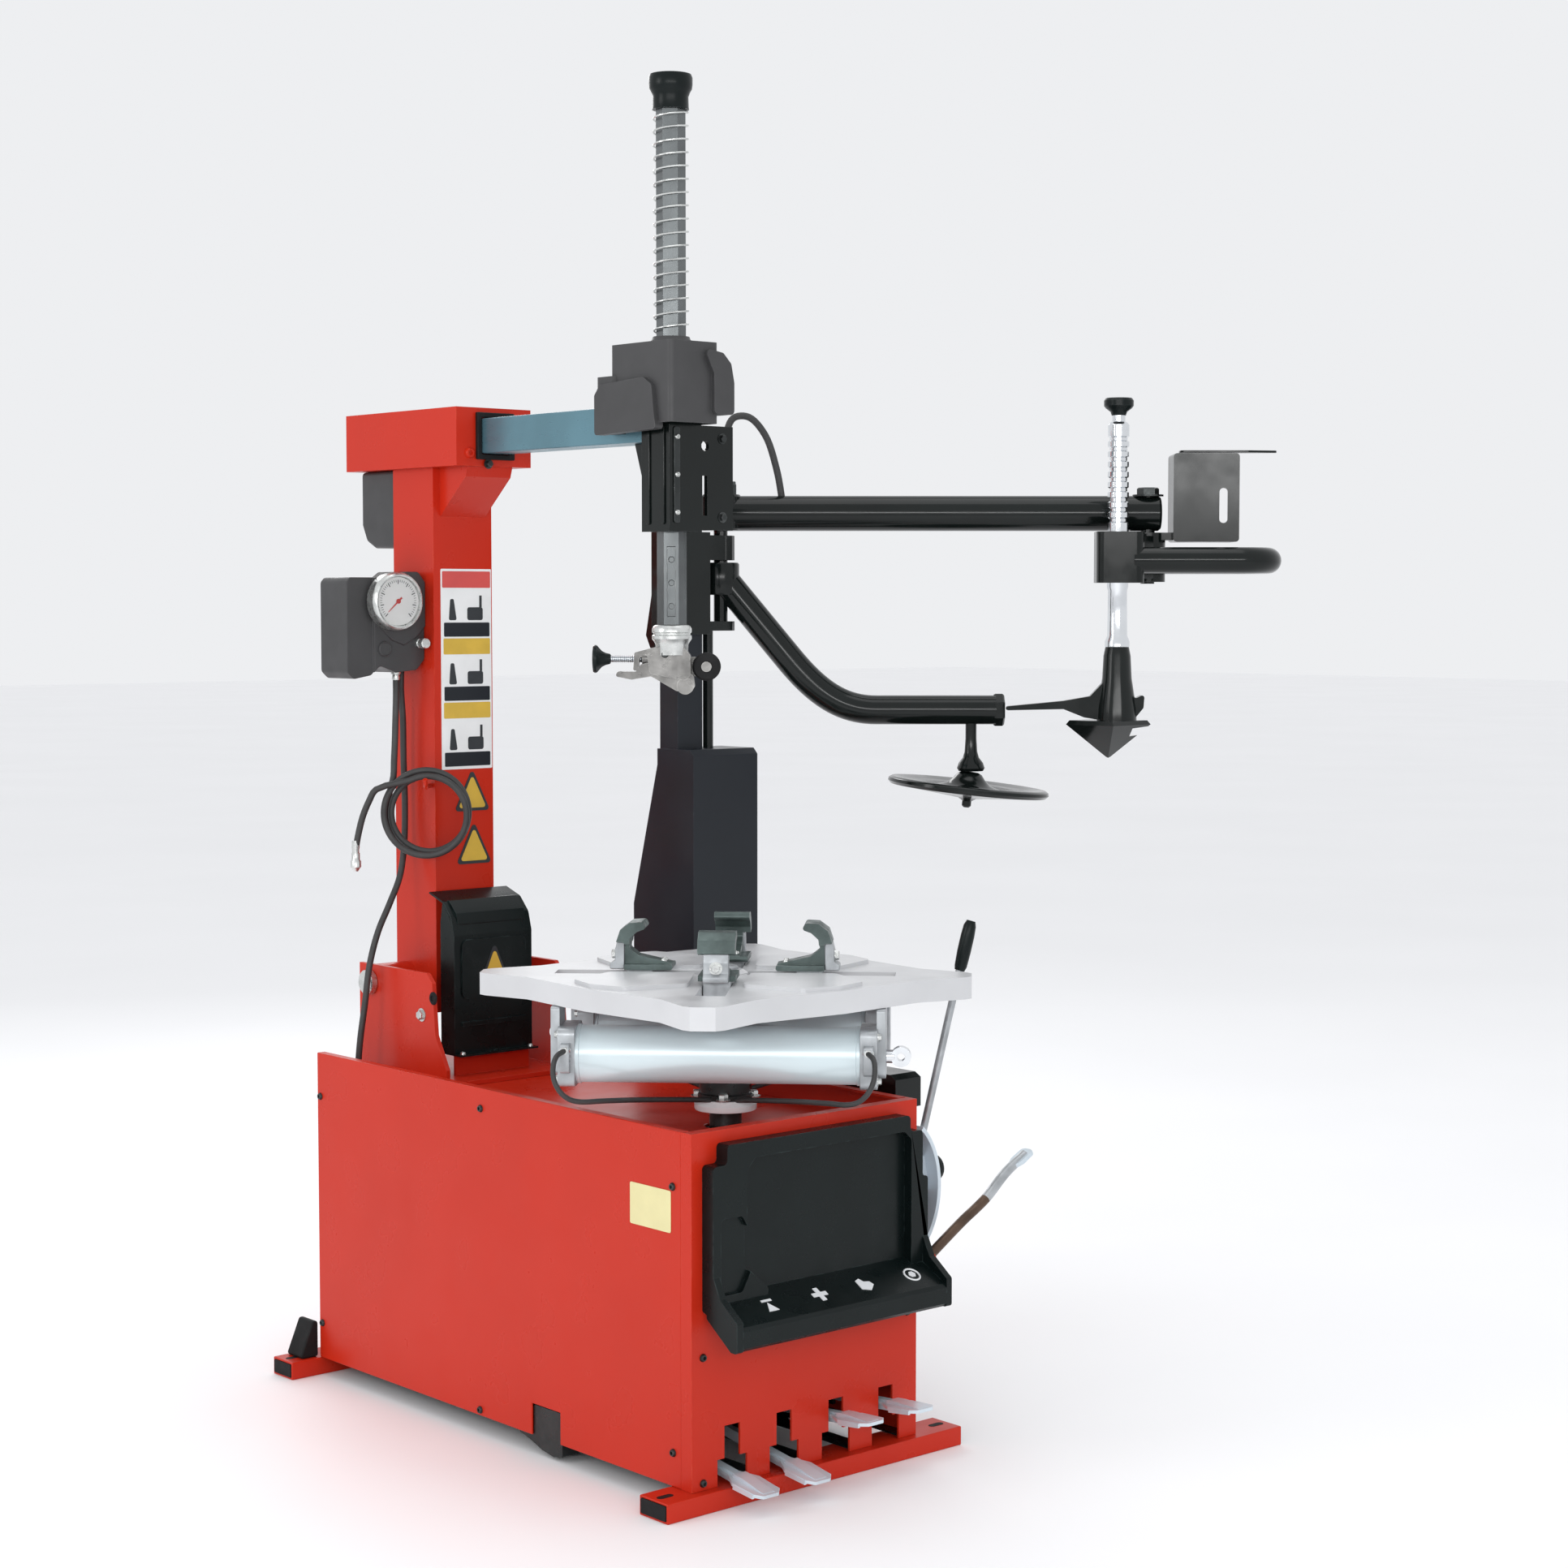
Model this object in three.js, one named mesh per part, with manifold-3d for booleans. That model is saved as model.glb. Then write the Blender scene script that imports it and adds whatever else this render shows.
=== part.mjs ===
// Tilt-back tire changer: a cabinet with a turntable, a column that carries the mounting tool,
// a help arm on the right and a bead breaker on the right wall.
// Millimetres. +Z is up, +X is the machine's right, and the operator stands at -Y.
// The origin is on the floor, under the middle of the cabinet's front panel.

import * as THREE from 'three';
import { mergeVertices } from 'three/addons/utils/BufferGeometryUtils.js';
import Module from 'manifold-3d';

const wasm = await Module();
wasm.setup();

// ---- Driving dimensions ----
const GAP = 0.3; // kept between faces that touch
const SHEET = 4; // panel thickness

const CABINET_HALF = 225;
const CABINET_DEPTH = 1000;
const WALL_TOP = 555;
const DECK_TOP = 515;
const FOOT_HEIGHT = 30;
const FRONT_RETURN = 24; // how far the front panel wraps round the side

const PEDAL_X = [-148, -47, 57, 160];
const PEDAL_PIVOT = { y: 220, z: 75 };
const PEDAL_REST_DEG = [8.3, 8.3, -4.2, -4.2]; // two latched down, two up
const PEDAL_TIP = 310;

const TABLE_Y = 190;
const TABLE_TOP = 757;
const TABLE_THICK = 40;
const TABLE_TIP = 377; // radius of the plate's four tips
const TABLE_SIDE = 272; // radius at the middle of a side
const JAW_REST = 130; // radius of a jaw's slider
const CYLINDER_OFFSET = 110;
const CYLINDER_Z = 642;

const PIVOT = { y: 968, z: 671 }; // column tilt axis
const COLUMN_HALF = 60;
const COLUMN_Y = [882, 1002];
const HEAD_Y = [789, 1123];
const HEAD_Z = [1545, 1642];
const ARM_Z = [1566, 1624];
const ARM_HALF = 28;

const SHAFT_Y = 318;
const SHAFT_FLATS = 40;
const SHAFT_Z = [1283, 2074];
const SPRING_Z = [1727.4, 2073.6];
const SPRING_TURNS = 17;
const SPRING_RADIUS = 26.5;
const SPRING_WIRE = 1.5; // radius
const CAP_TOP = 2127;

const HELP_PIVOT = { x: 348, y: 614 };
const HELP_ANGLE = -41.3 * Math.PI / 180; // direction of the help arm, and of the tool
const UPPER_ARM_Z = 1470;
const ELBOW_X = 731;
const PRESS = { x: 672, y: -69 };

const BREAKER_PIVOT = { x: 282, y: 515 };
const BLADE_HINGE = { x: 282, y: 105 };
const BREAKER_ROD = { y: 400, z: 420 };

const LEVER_FOOT = { x: 255, y: 38, z: 271 };
const LEVER_LEAN = 57.6 * Math.PI / 180; // from upright, towards +X
const LEVER_RADIUS = 8;

// ---- Finishes ----
const finish = (color, roughness, metalness) => (
  new THREE.MeshStandardMaterial({ color, roughness, metalness })
);
const RED = finish(0xc83a28, 0.35, 0.1);
const BLACK = finish(0x1c2222, 0.3, 0.1);
const NAVY = finish(0x26292f, 0.4, 0.2);
const CHARCOAL = finish(0x585859, 0.6, 0);
const RUBBER = finish(0x1a1a1b, 0.8, 0);
const CHROME = finish(0xd4d8da, 0.15, 1);
const STEEL = finish(0xbfc4c8, 0.35, 0.9);
const WHITE_METAL = finish(0xe1e3e4, 0.4, 0.4);
const CYLINDER_METAL = finish(0xd2e4e6, 0.35, 0.5);
const JAW_METAL = finish(0x4b5552, 0.5, 0.7);
const ARM_METAL = finish(0x5f828e, 0.35, 0.6);
const DARK_STEEL = finish(0x2e3130, 0.4, 0.8);

// ---- Solids ----
function solid(geometry) {
  const bare = geometry.index ? geometry.toNonIndexed() : geometry.clone();
  bare.deleteAttribute('normal');
  bare.deleteAttribute('uv');
  const merged = mergeVertices(bare, 1e-3);
  const corners = merged.index.array;
  const triangles = [];
  for (let i = 0; i < corners.length; i += 3) {
    const [a, b, c] = corners.slice(i, i + 3);
    if (a !== b && b !== c && c !== a) triangles.push(a, b, c);
  }
  return new wasm.Manifold(new wasm.Mesh({
    numProp: 3,
    vertProperties: Float32Array.from(merged.attributes.position.array),
    triVerts: Uint32Array.from(triangles),
  }));
}

function shape(manifold) {
  const mesh = manifold.getMesh();
  const geometry = new THREE.BufferGeometry();
  geometry.setAttribute('position', new THREE.Float32BufferAttribute(mesh.vertProperties, 3));
  geometry.setIndex(new THREE.Uint32BufferAttribute(mesh.triVerts, 1));
  const flat = geometry.toNonIndexed();
  flat.computeVertexNormals();
  return flat;
}

const join = (...parts) => shape(parts.map(solid).reduce((a, b) => a.add(b)));
const cut = (body, ...tools) => shape(tools.map(solid).reduce((a, b) => a.subtract(b), solid(body)));

function block([x0, x1], [y0, y1], [z0, z1]) {
  return new THREE.BoxGeometry(x1 - x0, y1 - y0, z1 - z0)
    .translate((x0 + x1) / 2, (y0 + y1) / 2, (z0 + z1) / 2);
}

// An outline of [u, v] points, extruded along one axis: u, v are y, z along x; x, z along y; x, y along z.
function prism(axis, outline, from, to) {
  const geometry = new THREE.ExtrudeGeometry(
    new THREE.Shape(outline.map(([u, v]) => new THREE.Vector2(u, v))),
    { depth: to - from, bevelEnabled: false },
  );
  return stand(geometry, axis, from, to);
}

function stand(geometry, axis, from, to) {
  const basis = new THREE.Matrix4();
  if (axis === 'x') basis.set(0, 0, 1, from, 1, 0, 0, 0, 0, 1, 0, 0, 0, 0, 0, 1);
  if (axis === 'y') basis.set(1, 0, 0, 0, 0, 0, -1, to, 0, 1, 0, 0, 0, 0, 0, 1);
  if (axis === 'z') basis.makeTranslation(0, 0, from);
  return geometry.applyMatrix4(basis);
}

// A round bar along one axis; u, v place its centre as in prism.
function bar(axis, at, radius, from, to, sides = 12) {
  const section = new THREE.Shape(circle(at, radius, sides));
  return stand(new THREE.ExtrudeGeometry(section, { depth: to - from, bevelEnabled: false }), axis, from, to);
}

function circle([u, v], radius, sides) {
  return Array.from({ length: sides }, (_, i) => {
    const turn = (i + 0.5) / sides * 2 * Math.PI;
    return new THREE.Vector2(u + radius * Math.cos(turn), v + radius * Math.sin(turn));
  });
}

// A round hole for a bar of the given radius to turn in: its flats, not its corners, are at that radius.
function bore(axis, at, radius, from, to, sides = 12) {
  return bar(axis, at, radius / Math.cos(Math.PI / sides), from, to, sides);
}

// A turned piece about Z from [radius, z] points, lowest first, that start and end on the axis.
function turned(profile, sides = 16) {
  return new THREE.LatheGeometry(profile.map(([r, z]) => new THREE.Vector2(r, z)), sides).rotateX(Math.PI / 2);
}

// A round tube along a curve.
function tube(curve, radius, sides, steps) {
  const section = new THREE.Shape(circle([0, 0], radius, sides));
  return new THREE.ExtrudeGeometry(section, { steps, extrudePath: curve, bevelEnabled: false });
}

function smooth(points) {
  return new THREE.CatmullRomCurve3(points.map((p) => new THREE.Vector3(...p)), false, 'centripetal');
}

// A rectangle with cut corners, as an outline.
function chamfered([u0, u1], [v0, v1], c) {
  return [
    [u0 + c, v0], [u1 - c, v0], [u1, v0 + c], [u1, v1 - c],
    [u1 - c, v1], [u0 + c, v1], [u0, v1 - c], [u0, v0 + c],
  ];
}

const machine = new THREE.Group();

function add(group, name, geometry, material) {
  const mesh = new THREE.Mesh(geometry, material.clone());
  mesh.name = name;
  group.add(mesh);
  return mesh;
}

function place(parent, x, y, z, turn = 0) {
  const group = new THREE.Group();
  group.position.set(x, y, z);
  group.rotation.z = turn;
  parent.add(group);
  return group;
}

// ---- Cabinet ----
const PANEL_LOW = FOOT_HEIGHT + GAP;

function frontPanel() {
  const half = CABINET_HALF;
  const face = block([-half, half], [0, SHEET], [PANEL_LOW, WALL_TOP]);
  const sides = [-1, 1].map((side) => {
    const x = side < 0 ? [-half, -half + SHEET] : [half - SHEET, half];
    return block(x, [0, FRONT_RETURN], [PANEL_LOW, WALL_TOP]);
  });
  const rim = block([-half, half], [0, 20], [WALL_TOP - SHEET, WALL_TOP]);
  const leverBore = leverBar(LEVER_RADIUS + 1.2, -0.5, 60);
  const slots = PEDAL_X.flatMap((x) => [
    block([x - 15, x + 15], [-1, SHEET + 1], [60, 118]),
    block([x - 28.5, x + 28.5], [-1, SHEET + 1], [PANEL_LOW - 1, 70]),
  ]);
  return cut(join(face, ...sides, rim, leverSocket()), ...slots, leverBore);
}

// A round bar in line with the tire lever's straight foot.
function leverBar(radius, from, to) {
  const { x, y, z } = LEVER_FOOT;
  return bar('z', [0, 0], radius, from, to, 16).rotateY(LEVER_LEAN).translate(x, y, z);
}

// The socket that holds the loose tire lever, on a plate welded to the panel's right return.
function leverSocket() {
  const { x, y, z } = LEVER_FOOT;
  const plate = block([CABINET_HALF - 2, x + 14], [6, 18], [z - 8, z + 32]);
  const tie = block([x - 4, x + 14], [16, y - 6], [z - 2, z + 26]);
  return join(plate, tie, leverBar(LEVER_RADIUS + 5, -4, 44));
}

function sidePanel(side, ...extra) {
  const out = side * CABINET_HALF;
  const along = [FRONT_RETURN + GAP, CABINET_DEPTH];
  const span = (a, b) => [Math.min(out - side * a, out - side * b), Math.max(out - side * a, out - side * b)];
  const wall = block(span(0, SHEET), along, [PANEL_LOW, WALL_TOP]);
  const flange = block(span(0, 16), along, [WALL_TOP - SHEET, WALL_TOP]);
  return join(wall, flange, ...extra);
}

// The left wall has a low notch where a lifting channel passes.
function leftPanel() {
  const notch = block([-CABINET_HALF - 1, -CABINET_HALF + 20], [317, 390], [PANEL_LOW - 1, 80]);
  return cut(sidePanel(-1), notch);
}

// The right wall carries the clevis and pin that the bead breaker swings on, and lets its rod through.
function rightPanel() {
  const { x, y } = BREAKER_PIVOT;
  const lugs = [[502, 518], [579, 593]].map(([low, high]) => join(
    block([CABINET_HALF - 2, x], [y - 25, y + 25], [low, high]),
    bar('z', [x, y], 25, low, high),
  ));
  const pin = bar('z', [x, y], 11, 496, 602);
  const hole = bore('x', [BREAKER_ROD.y, BREAKER_ROD.z], 22, CABINET_HALF - 6, CABINET_HALF + 1);
  return cut(sidePanel(1, ...lugs, pin), hole);
}

function topPlate() {
  const half = CABINET_HALF - SHEET - GAP;
  const deck = block([-half, half], [SHEET + GAP, CABINET_DEPTH - GAP], [DECK_TOP - SHEET, DECK_TOP]);
  const rear = block([-half, half], [CABINET_DEPTH - SHEET, CABINET_DEPTH - GAP], [PANEL_LOW, DECK_TOP]);
  return cut(join(deck, rear), bore('z', [0, TABLE_Y], 32, DECK_TOP - 10, DECK_TOP + 5));
}

// A square tube that lies across the machine, open at both ends.
function foot([x0, x1], [y0, y1]) {
  const wall = 4;
  const outer = block([x0, x1], [y0, y1], [0, FOOT_HEIGHT]);
  return cut(outer, block([x0 - 1, x1 + 1], [y0 + wall, y1 - wall], [wall, FOOT_HEIGHT - wall]));
}

function pedalTray() {
  const back = block([-205, 225], [-8, -GAP], [285, 537]);
  const cheek = (x0, x1, front) => prism('x', [
    [-GAP, 300], [-GAP, 537], [front, 537], [front, 340], [-78, 285], [-78, 245], [-50, 245],
  ], x0, x1);
  const apron = prism('x', [
    [-GAP, 300], [-8, 312], [-72, 278], [-78, 268], [-78, 245], [-70, 245], [-64, 262],
  ], -205, 225);
  const rim = block([-205, 225], [-25, -2], [527, 537]);
  return join(back, cheek(-205, -150, -25), cheek(214, 225, -25), apron, rim);
}

function rubberPad() {
  const x = CABINET_HALF + GAP;
  const ribs = [150, 230, 310, 390].map((z) => block([x, x + 18], [32, 288], [z, z + 40]));
  return join(prism('x', chamfered([20, 300], [110, 480], 25), x, x + 12), ...ribs);
}

// Motor and worm gearbox in one unit, bolted under the deck.
function driveUnit() {
  const top = DECK_TOP - SHEET - GAP;
  const housing = block([-80, 80], [110, 270], [330, top - 12]);
  const flange = bar('z', [0, TABLE_Y], 105, top - 14, top, 20);
  const worm = bar('y', [0, 290], 45, 110, 290);
  const web = block([-40, 40], [120, 270], [270, 340]);
  const motor = bar('y', [0, 250], 75, 285, 500, 16);
  const ribs = [320, 400].map((y) => bar('y', [0, 250], 80, y, y + 24, 16));
  return cut(
    join(housing, flange, worm, web, motor, ...ribs),
    bore('z', [0, TABLE_Y], 26.5, 498, top + 1, 16),
  );
}

function pedalFrame() {
  const { y, z } = PEDAL_PIVOT;
  const edge = CABINET_HALF - SHEET - GAP;
  const cheeks = [[-edge, -edge + 6], [edge - 6, edge]].map((x) => block(x, [180, 300], [40, 120]));
  const rail = block([-edge, edge], [262, 300], [40, 52]);
  const valves = PEDAL_X.map((x) => block([x - 20, x + 20], [266, 296], [50, 110]));
  return join(...cheeks, rail, bar('x', [y, z], 7, -edge, edge), ...valves);
}

// A lever on the pedal axle, built level, with its pad towards -Y.
function pedal() {
  const lever = block([-6, 6], [-236, 14], [-9, 7]);
  const hub = bar('x', [0, 0], 14, -9, 9);
  const pad = prism('z', [
    [-27, -232], [27, -232], [25, 10 - PEDAL_TIP], [18, -PEDAL_TIP], [-18, -PEDAL_TIP], [-25, 10 - PEDAL_TIP],
  ], -5, 4);
  const rib = prism('x', [[-232, 4], [-232, 9], [-290, 4]], -22, 22);
  return cut(join(lever, hub, pad, rib), bore('x', [0, 0], 7.4, -10, 10));
}

function buildCabinet() {
  add(machine, 'front_panel', frontPanel(), RED);
  add(machine, 'left_side_panel', leftPanel(), RED);
  add(machine, 'right_side_panel', rightPanel(), RED);
  add(machine, 'top_plate', topPlate(), RED);
  add(machine, 'front_foot', foot([-283, 309], [-16, 49]), RED);
  add(machine, 'rear_foot', foot([-283, 283], [996, 1056]), RED);
  add(machine, 'pedal_tray', pedalTray(), BLACK);
  add(machine, 'side_rubber_pad', rubberPad(), RUBBER);
  add(machine, 'drive_unit', driveUnit(), DARK_STEEL);
  add(machine, 'pedal_frame', pedalFrame(), DARK_STEEL);
  PEDAL_X.forEach((x, i) => {
    const mesh = add(machine, `pedal_${i + 1}`, pedal(), STEEL);
    mesh.position.set(x, PEDAL_PIVOT.y, PEDAL_PIVOT.z);
    mesh.rotation.x = PEDAL_REST_DEG[i] * Math.PI / 180;
  });
}

// ---- Column ----
const BRACKET_X = [128, 136];
const TILT_Y = 826; // the tilt cylinder stands here, between the base cover and the column
const TILT_LUG_Z = 752;

function columnBracket() {
  const floor = DECK_TOP + GAP;
  const outline = [
    [744, floor], [1003, floor], [1003, 702], [800, 702], [784, 686], [776, 600], [744, 545],
  ];
  const [inner, outer] = BRACKET_X;
  const plates = [prism('x', outline, -outer, -inner), prism('x', outline, inner, outer)];
  const base = block([-outer, outer], [744, 1003], [floor, 523]);
  const cross = block([-76, 76], [804, 810], [floor + 0.2, 590]);
  const seat = [-1, 1].map((side) => block([side * 24 - 4, side * 24 + 4], [814, 838], [520, 552]));
  return cut(
    join(...plates, base, cross, ...seat),
    bore('x', [PIVOT.y, PIVOT.z], 15.4, -150, 150, 16),
  );
}

function pivotPin() {
  const head = (from, to) => bar('x', [PIVOT.y, PIVOT.z], 21, from, to, 16);
  return join(bar('x', [PIVOT.y, PIVOT.z], 15, -150, 150, 16), head(-150, -136.3), head(136.3, 150));
}

function baseCover() {
  const sheet = [
    [800, 557], [803, 557], [803, 758], [812, 788], [834, 812], [873, 826],
    [873, 829], [832, 815], [809, 790], [800, 760],
  ];
  const flange = block([-80, 80], [782, 802], [557, 560]);
  const side = [[801, 557], [840, 557], [840, 780], [834, 812], [812, 788], [801, 758]];
  return join(
    prism('x', sheet, -80, 80), flange,
    prism('x', side, -80, -77), prism('x', side, 77, 80),
  );
}

function tiltCylinder() {
  const barrel = bar('z', [0, TILT_Y], 14, 556, 700);
  const trunnion = bar('x', [TILT_Y, 540], 11, -19, 19);
  const neck = block([-8, 8], [TILT_Y - 8, TILT_Y + 8], [540, 560]);
  return cut(join(barrel, trunnion, neck), bore('z', [0, TILT_Y], 7.4, 580, 701));
}

function tiltRod() {
  const eye = bar('x', [TILT_Y, TILT_LUG_Z], 14, -8, 8);
  return cut(join(bar('z', [0, TILT_Y], 7, 590, 742), eye), bore('x', [TILT_Y, TILT_LUG_Z], 9, -9, 9));
}

function column() {
  const half = COLUMN_HALF;
  const wall = 6;
  const [front, back] = COLUMN_Y;
  const post = cut(
    block([-half, half], COLUMN_Y, [620, HEAD_Z[0] + 2]),
    block([-half + wall, half - wall], [front + wall, back - wall], [619, 1500]),
  );
  const head = block([-76, 76], HEAD_Y, HEAD_Z);
  const gusset = prism('x', [[front + 1, 1462], [front + 1, 1546], [800, 1546], [806, 1528]], -46, 46);
  const hub = bar('x', [PIVOT.y, PIVOT.z], 30, -127, 127, 16);
  const ears = [-1, 1].map((side) => block([side * 14 - 4, side * 14 + 4], [812, front + 2], [738, 766]));
  const earPin = bar('x', [TILT_Y, TILT_LUG_Z], 5, -18, 18, 12);
  const hook = tube(smooth([
    [-56, 893, 1008], [-72, 884, 1008], [-90, 862, 1008], [-99, 852, 1009], [-104, 847, 1022],
  ]), 4, 8, 8);
  const armHalf = ARM_HALF + 0.7;
  const armWay = block([-armHalf, armHalf], [HEAD_Y[0] - 1, 1112], [ARM_Z[0] - 0.7, ARM_Z[1] + 0.7]);
  return cut(
    join(post, head, gusset, hub, ...ears, earPin, hook),
    armWay,
    bore('x', [PIVOT.y, PIVOT.z], 15.4, -130, 130, 16),
  );
}

function headRearCover() {
  const low = 1412;
  const top = HEAD_Z[0] - GAP;
  return prism('x', [
    [1003, low], [1070, low], [1096, low + 12], [1110, low + 40], [1110, top], [1003, top],
  ], -55, 55);
}

function gaugeBox() {
  const outline = [
    [-213, 1352], [-206, 1360], [-112, 1360], [-98, 1370], [-74, 1370], [-60.4, 1352],
    [-60.4, 1222], [-76, 1204], [-118, 1200], [-150, 1212], [-165, 1196], [-200, 1190], [-213, 1202],
  ];
  return prism('y', outline, 906, 994);
}

function pressureGauge() {
  return join(bar('y', [-130, 1320], 49, 884, 905.7, 20), bar('y', [-130, 1320], 44, 879, 890, 20));
}

// ---- Hoses on the column ----
const COIL = { x: -82.8, y: 870.8, z: 963, outer: 79, inner: 56, half: 22 };
const HOSE = 5.5; // radius
const CHUCK = { x: -179, y: 945.2, z: 905 };

function hoseCoil() {
  const { outer, inner, half } = COIL;
  const section = [[inner, -half], [outer, -half], [outer, half], [inner, half], [inner, -half]];
  return cut(new THREE.LatheGeometry(section.map(([r, h]) => new THREE.Vector2(r, h)), 20));
}

const LEAD = [
  [-104, 932, 1189], [-104, 932, 1160], [-106, 931, 1125],
  [-110, 928, 1080], [-114, 925, 1048], [-117, 922.5, 1026],
];
const TAIL = [
  [-156.8, 914.9, 1004], [-164.6, 924.4, 985], [-171.6, 934.5, 957], [-176.5, 941.4, 925],
  [-178.6, 944.7, 906],
];
const SUPPLY = [
  [-84, 946, 1202.5], [-84, 947, 1170], [-80, 948, 1120], [-78, 950, 1050], [-76, 950, 970],
  [-80, 948, 900], [-92, 944, 850], [-116, 940, 805], [-142, 936, 760], [-160, 935, 705],
  [-168, 938, 640], [-174, 944, 580], [-178, 948, 519],
];

function tyreChuck() {
  return turned([[0, -40], [5, -40], [9, -34], [9, -22], [7, -20], [7, -8], [4, 0], [0, 0]]);
}

function buildColumn() {
  add(machine, 'column_bracket', columnBracket(), RED);
  add(machine, 'column_pivot_pin', pivotPin(), STEEL);
  add(machine, 'base_cover', baseCover(), BLACK);
  add(machine, 'tilt_cylinder', tiltCylinder(), DARK_STEEL);
  add(machine, 'tilt_rod', tiltRod(), CHROME);
  add(machine, 'column', column(), RED);
  add(machine, 'head_rear_cover', headRearCover(), CHARCOAL);
  add(machine, 'gauge_box', gaugeBox(), CHARCOAL);
  add(machine, 'pressure_gauge', pressureGauge(), WHITE_METAL);
  const coil = place(machine, COIL.x, COIL.y, COIL.z, HELP_ANGLE);
  add(coil, 'hose_coil', hoseCoil(), RUBBER);
  add(machine, 'hose_lead', tube(smooth(LEAD), HOSE, 8, 9), RUBBER);
  add(machine, 'hose_tail', tube(smooth(TAIL), HOSE, 8, 7), RUBBER);
  add(machine, 'supply_hose', tube(smooth(SUPPLY), HOSE, 8, 24), RUBBER);
  add(place(machine, CHUCK.x, CHUCK.y, CHUCK.z), 'tyre_chuck', tyreChuck(), STEEL);
}

// ---- Horizontal arm, lock head and tool shaft ----
function lockHead() {
  const hex = hexBar(SHAFT_FLATS + 1.2, 1400, 1720);
  const guide = block([-32, 32], [284, 352], [1427, 1600]);
  const lockBlock = block([-44, 33], [276, 376], [1600, 1688]);
  const web = prism('x', [[350, 1429], [352, 1429], [398, 1565.7], [350, 1565.7]], -9, 9);
  const tie = block([-20, 20], [350, 376], [1624.5, 1680]);
  const plate = cut(
    block([30, 96], [284, 292], [1430, 1591]),
    block([34, 44], [280, 300], [1452, 1514]),
    bar('y', [40, 1560], 8, 280, 300, 10),
  );
  const flange = block([88, 96], [284, 312], [1430, 1591]);
  return cut(
    join(guide, lockBlock, web, tie, plate, flange),
    hex.translate(0, SHAFT_Y, 0),
    block([-29, 29], [352, 380], [ARM_Z[0] - GAP, ARM_Z[1] + GAP]),
  );
}

function hexBar(flats, from, to) {
  const points = [];
  for (let i = 0; i < 6; i++) {
    const turn = i / 6 * 2 * Math.PI + HELP_ANGLE;
    points.push([flats / Math.sqrt(3) * Math.cos(turn), flats / Math.sqrt(3) * Math.sin(turn)]);
  }
  return prism('z', points, from, to);
}

// An open-bottomed plastic shell over the lock, with a collar that the shaft passes through.
function lockCover() {
  const wall = 3;
  const body = (grow, low, frontLow, rearLow) => join(
    prism('z', chamfered([-58 - grow, 38 + grow], [248 - grow, 398 + grow], 8), low, 1716 + grow),
    prism('x', [
      [240 - grow, frontLow], [428 + grow, rearLow], [428 + grow, 1652 + grow],
      [404 + grow, 1680 + grow], [262 - grow, 1686 + grow], [240 - grow, 1662 + grow],
    ], -66 - grow, 62 + grow),
  );
  const shell = cut(body(0, 1600, 1604, 1578), body(-wall, 1560, 1560, 1560));
  const collar = bar('z', [0, SHAFT_Y], 34, 1713, 1727, 16);
  return cut(
    join(shell, collar),
    bore('z', [0, SHAFT_Y], 25, 1690, 1730, 16),
    block([-31, 31], [400, 450], [1560, 1628]),
  );
}

function hexShaft() {
  const [foot, top] = SHAFT_Z;
  const cap = turned([
    [0, top], [28.5, top], [28, CAP_TOP - 34], [33, CAP_TOP - 22], [34, CAP_TOP - 4],
    [32, CAP_TOP], [0, CAP_TOP],
  ]);
  return join(hexBar(SHAFT_FLATS, foot, top + 1), cap);
}

class Helix extends THREE.Curve {
  getPoint(t, target = new THREE.Vector3()) {
    const turn = t * SPRING_TURNS * 2 * Math.PI;
    const z = SPRING_Z[0] + SPRING_WIRE + t * (SPRING_Z[1] - SPRING_Z[0] - 2 * SPRING_WIRE);
    return target.set(SPRING_RADIUS * Math.cos(turn), SPRING_RADIUS * Math.sin(turn), z);
  }
}

const shaftSpring = () => tube(new Helix(), SPRING_WIRE, 3, SPRING_TURNS * 10);

// The tool at the shaft's foot: collar, body, duck-bill finger and the axle of its roller.
function mountHead() {
  const collar = turned([
    [0, 1238], [25, 1238], [25, 1254], [31, 1262], [31, 1276], [27, 1282.7], [0, 1282.7],
  ]);
  const body = prism('y', [
    [-34, 1206], [24, 1196], [30, 1206], [29, 1236], [20, 1248], [-24, 1248], [-38, 1236],
  ], -18, 18);
  const finger = prism('y', [
    [-30, 1224], [-52, 1214], [-84, 1212], [-88, 1202], [-62, 1198], [-30, 1204],
    [10, 1180], [36, 1184], [34, 1200],
  ], -13, 13);
  const axleArm = block([24, 60], [13.5, 22], [1204, 1232]);
  const axle = bar('y', [54, 1218], 8, -13, 20);
  const lowRoller = bar('y', [21, 1188], 13, -16, 16);
  const boss = bar('x', [0, 1230], 12, -46, -20);
  return cut(join(collar, body, finger, axleArm, axle, lowRoller, boss), bore('x', [0, 1230], 6.4, -47, -27));
}

function adjusterKnob() {
  const thread = bar('x', [0, 1230], 6, -100, -30, 12);
  const knob = turned([[0, 0], [9, 0], [12, 8], [22, 20], [21, 27], [0, 29]], 20);
  return join(thread, knob.rotateY(-Math.PI / 2).translate(-95, 0, 1230));
}

function headRoller() {
  return cut(bar('y', [54, 1218], 22, -13, 13, 18), bore('y', [54, 1218], 8.4, -14, 14));
}

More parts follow.
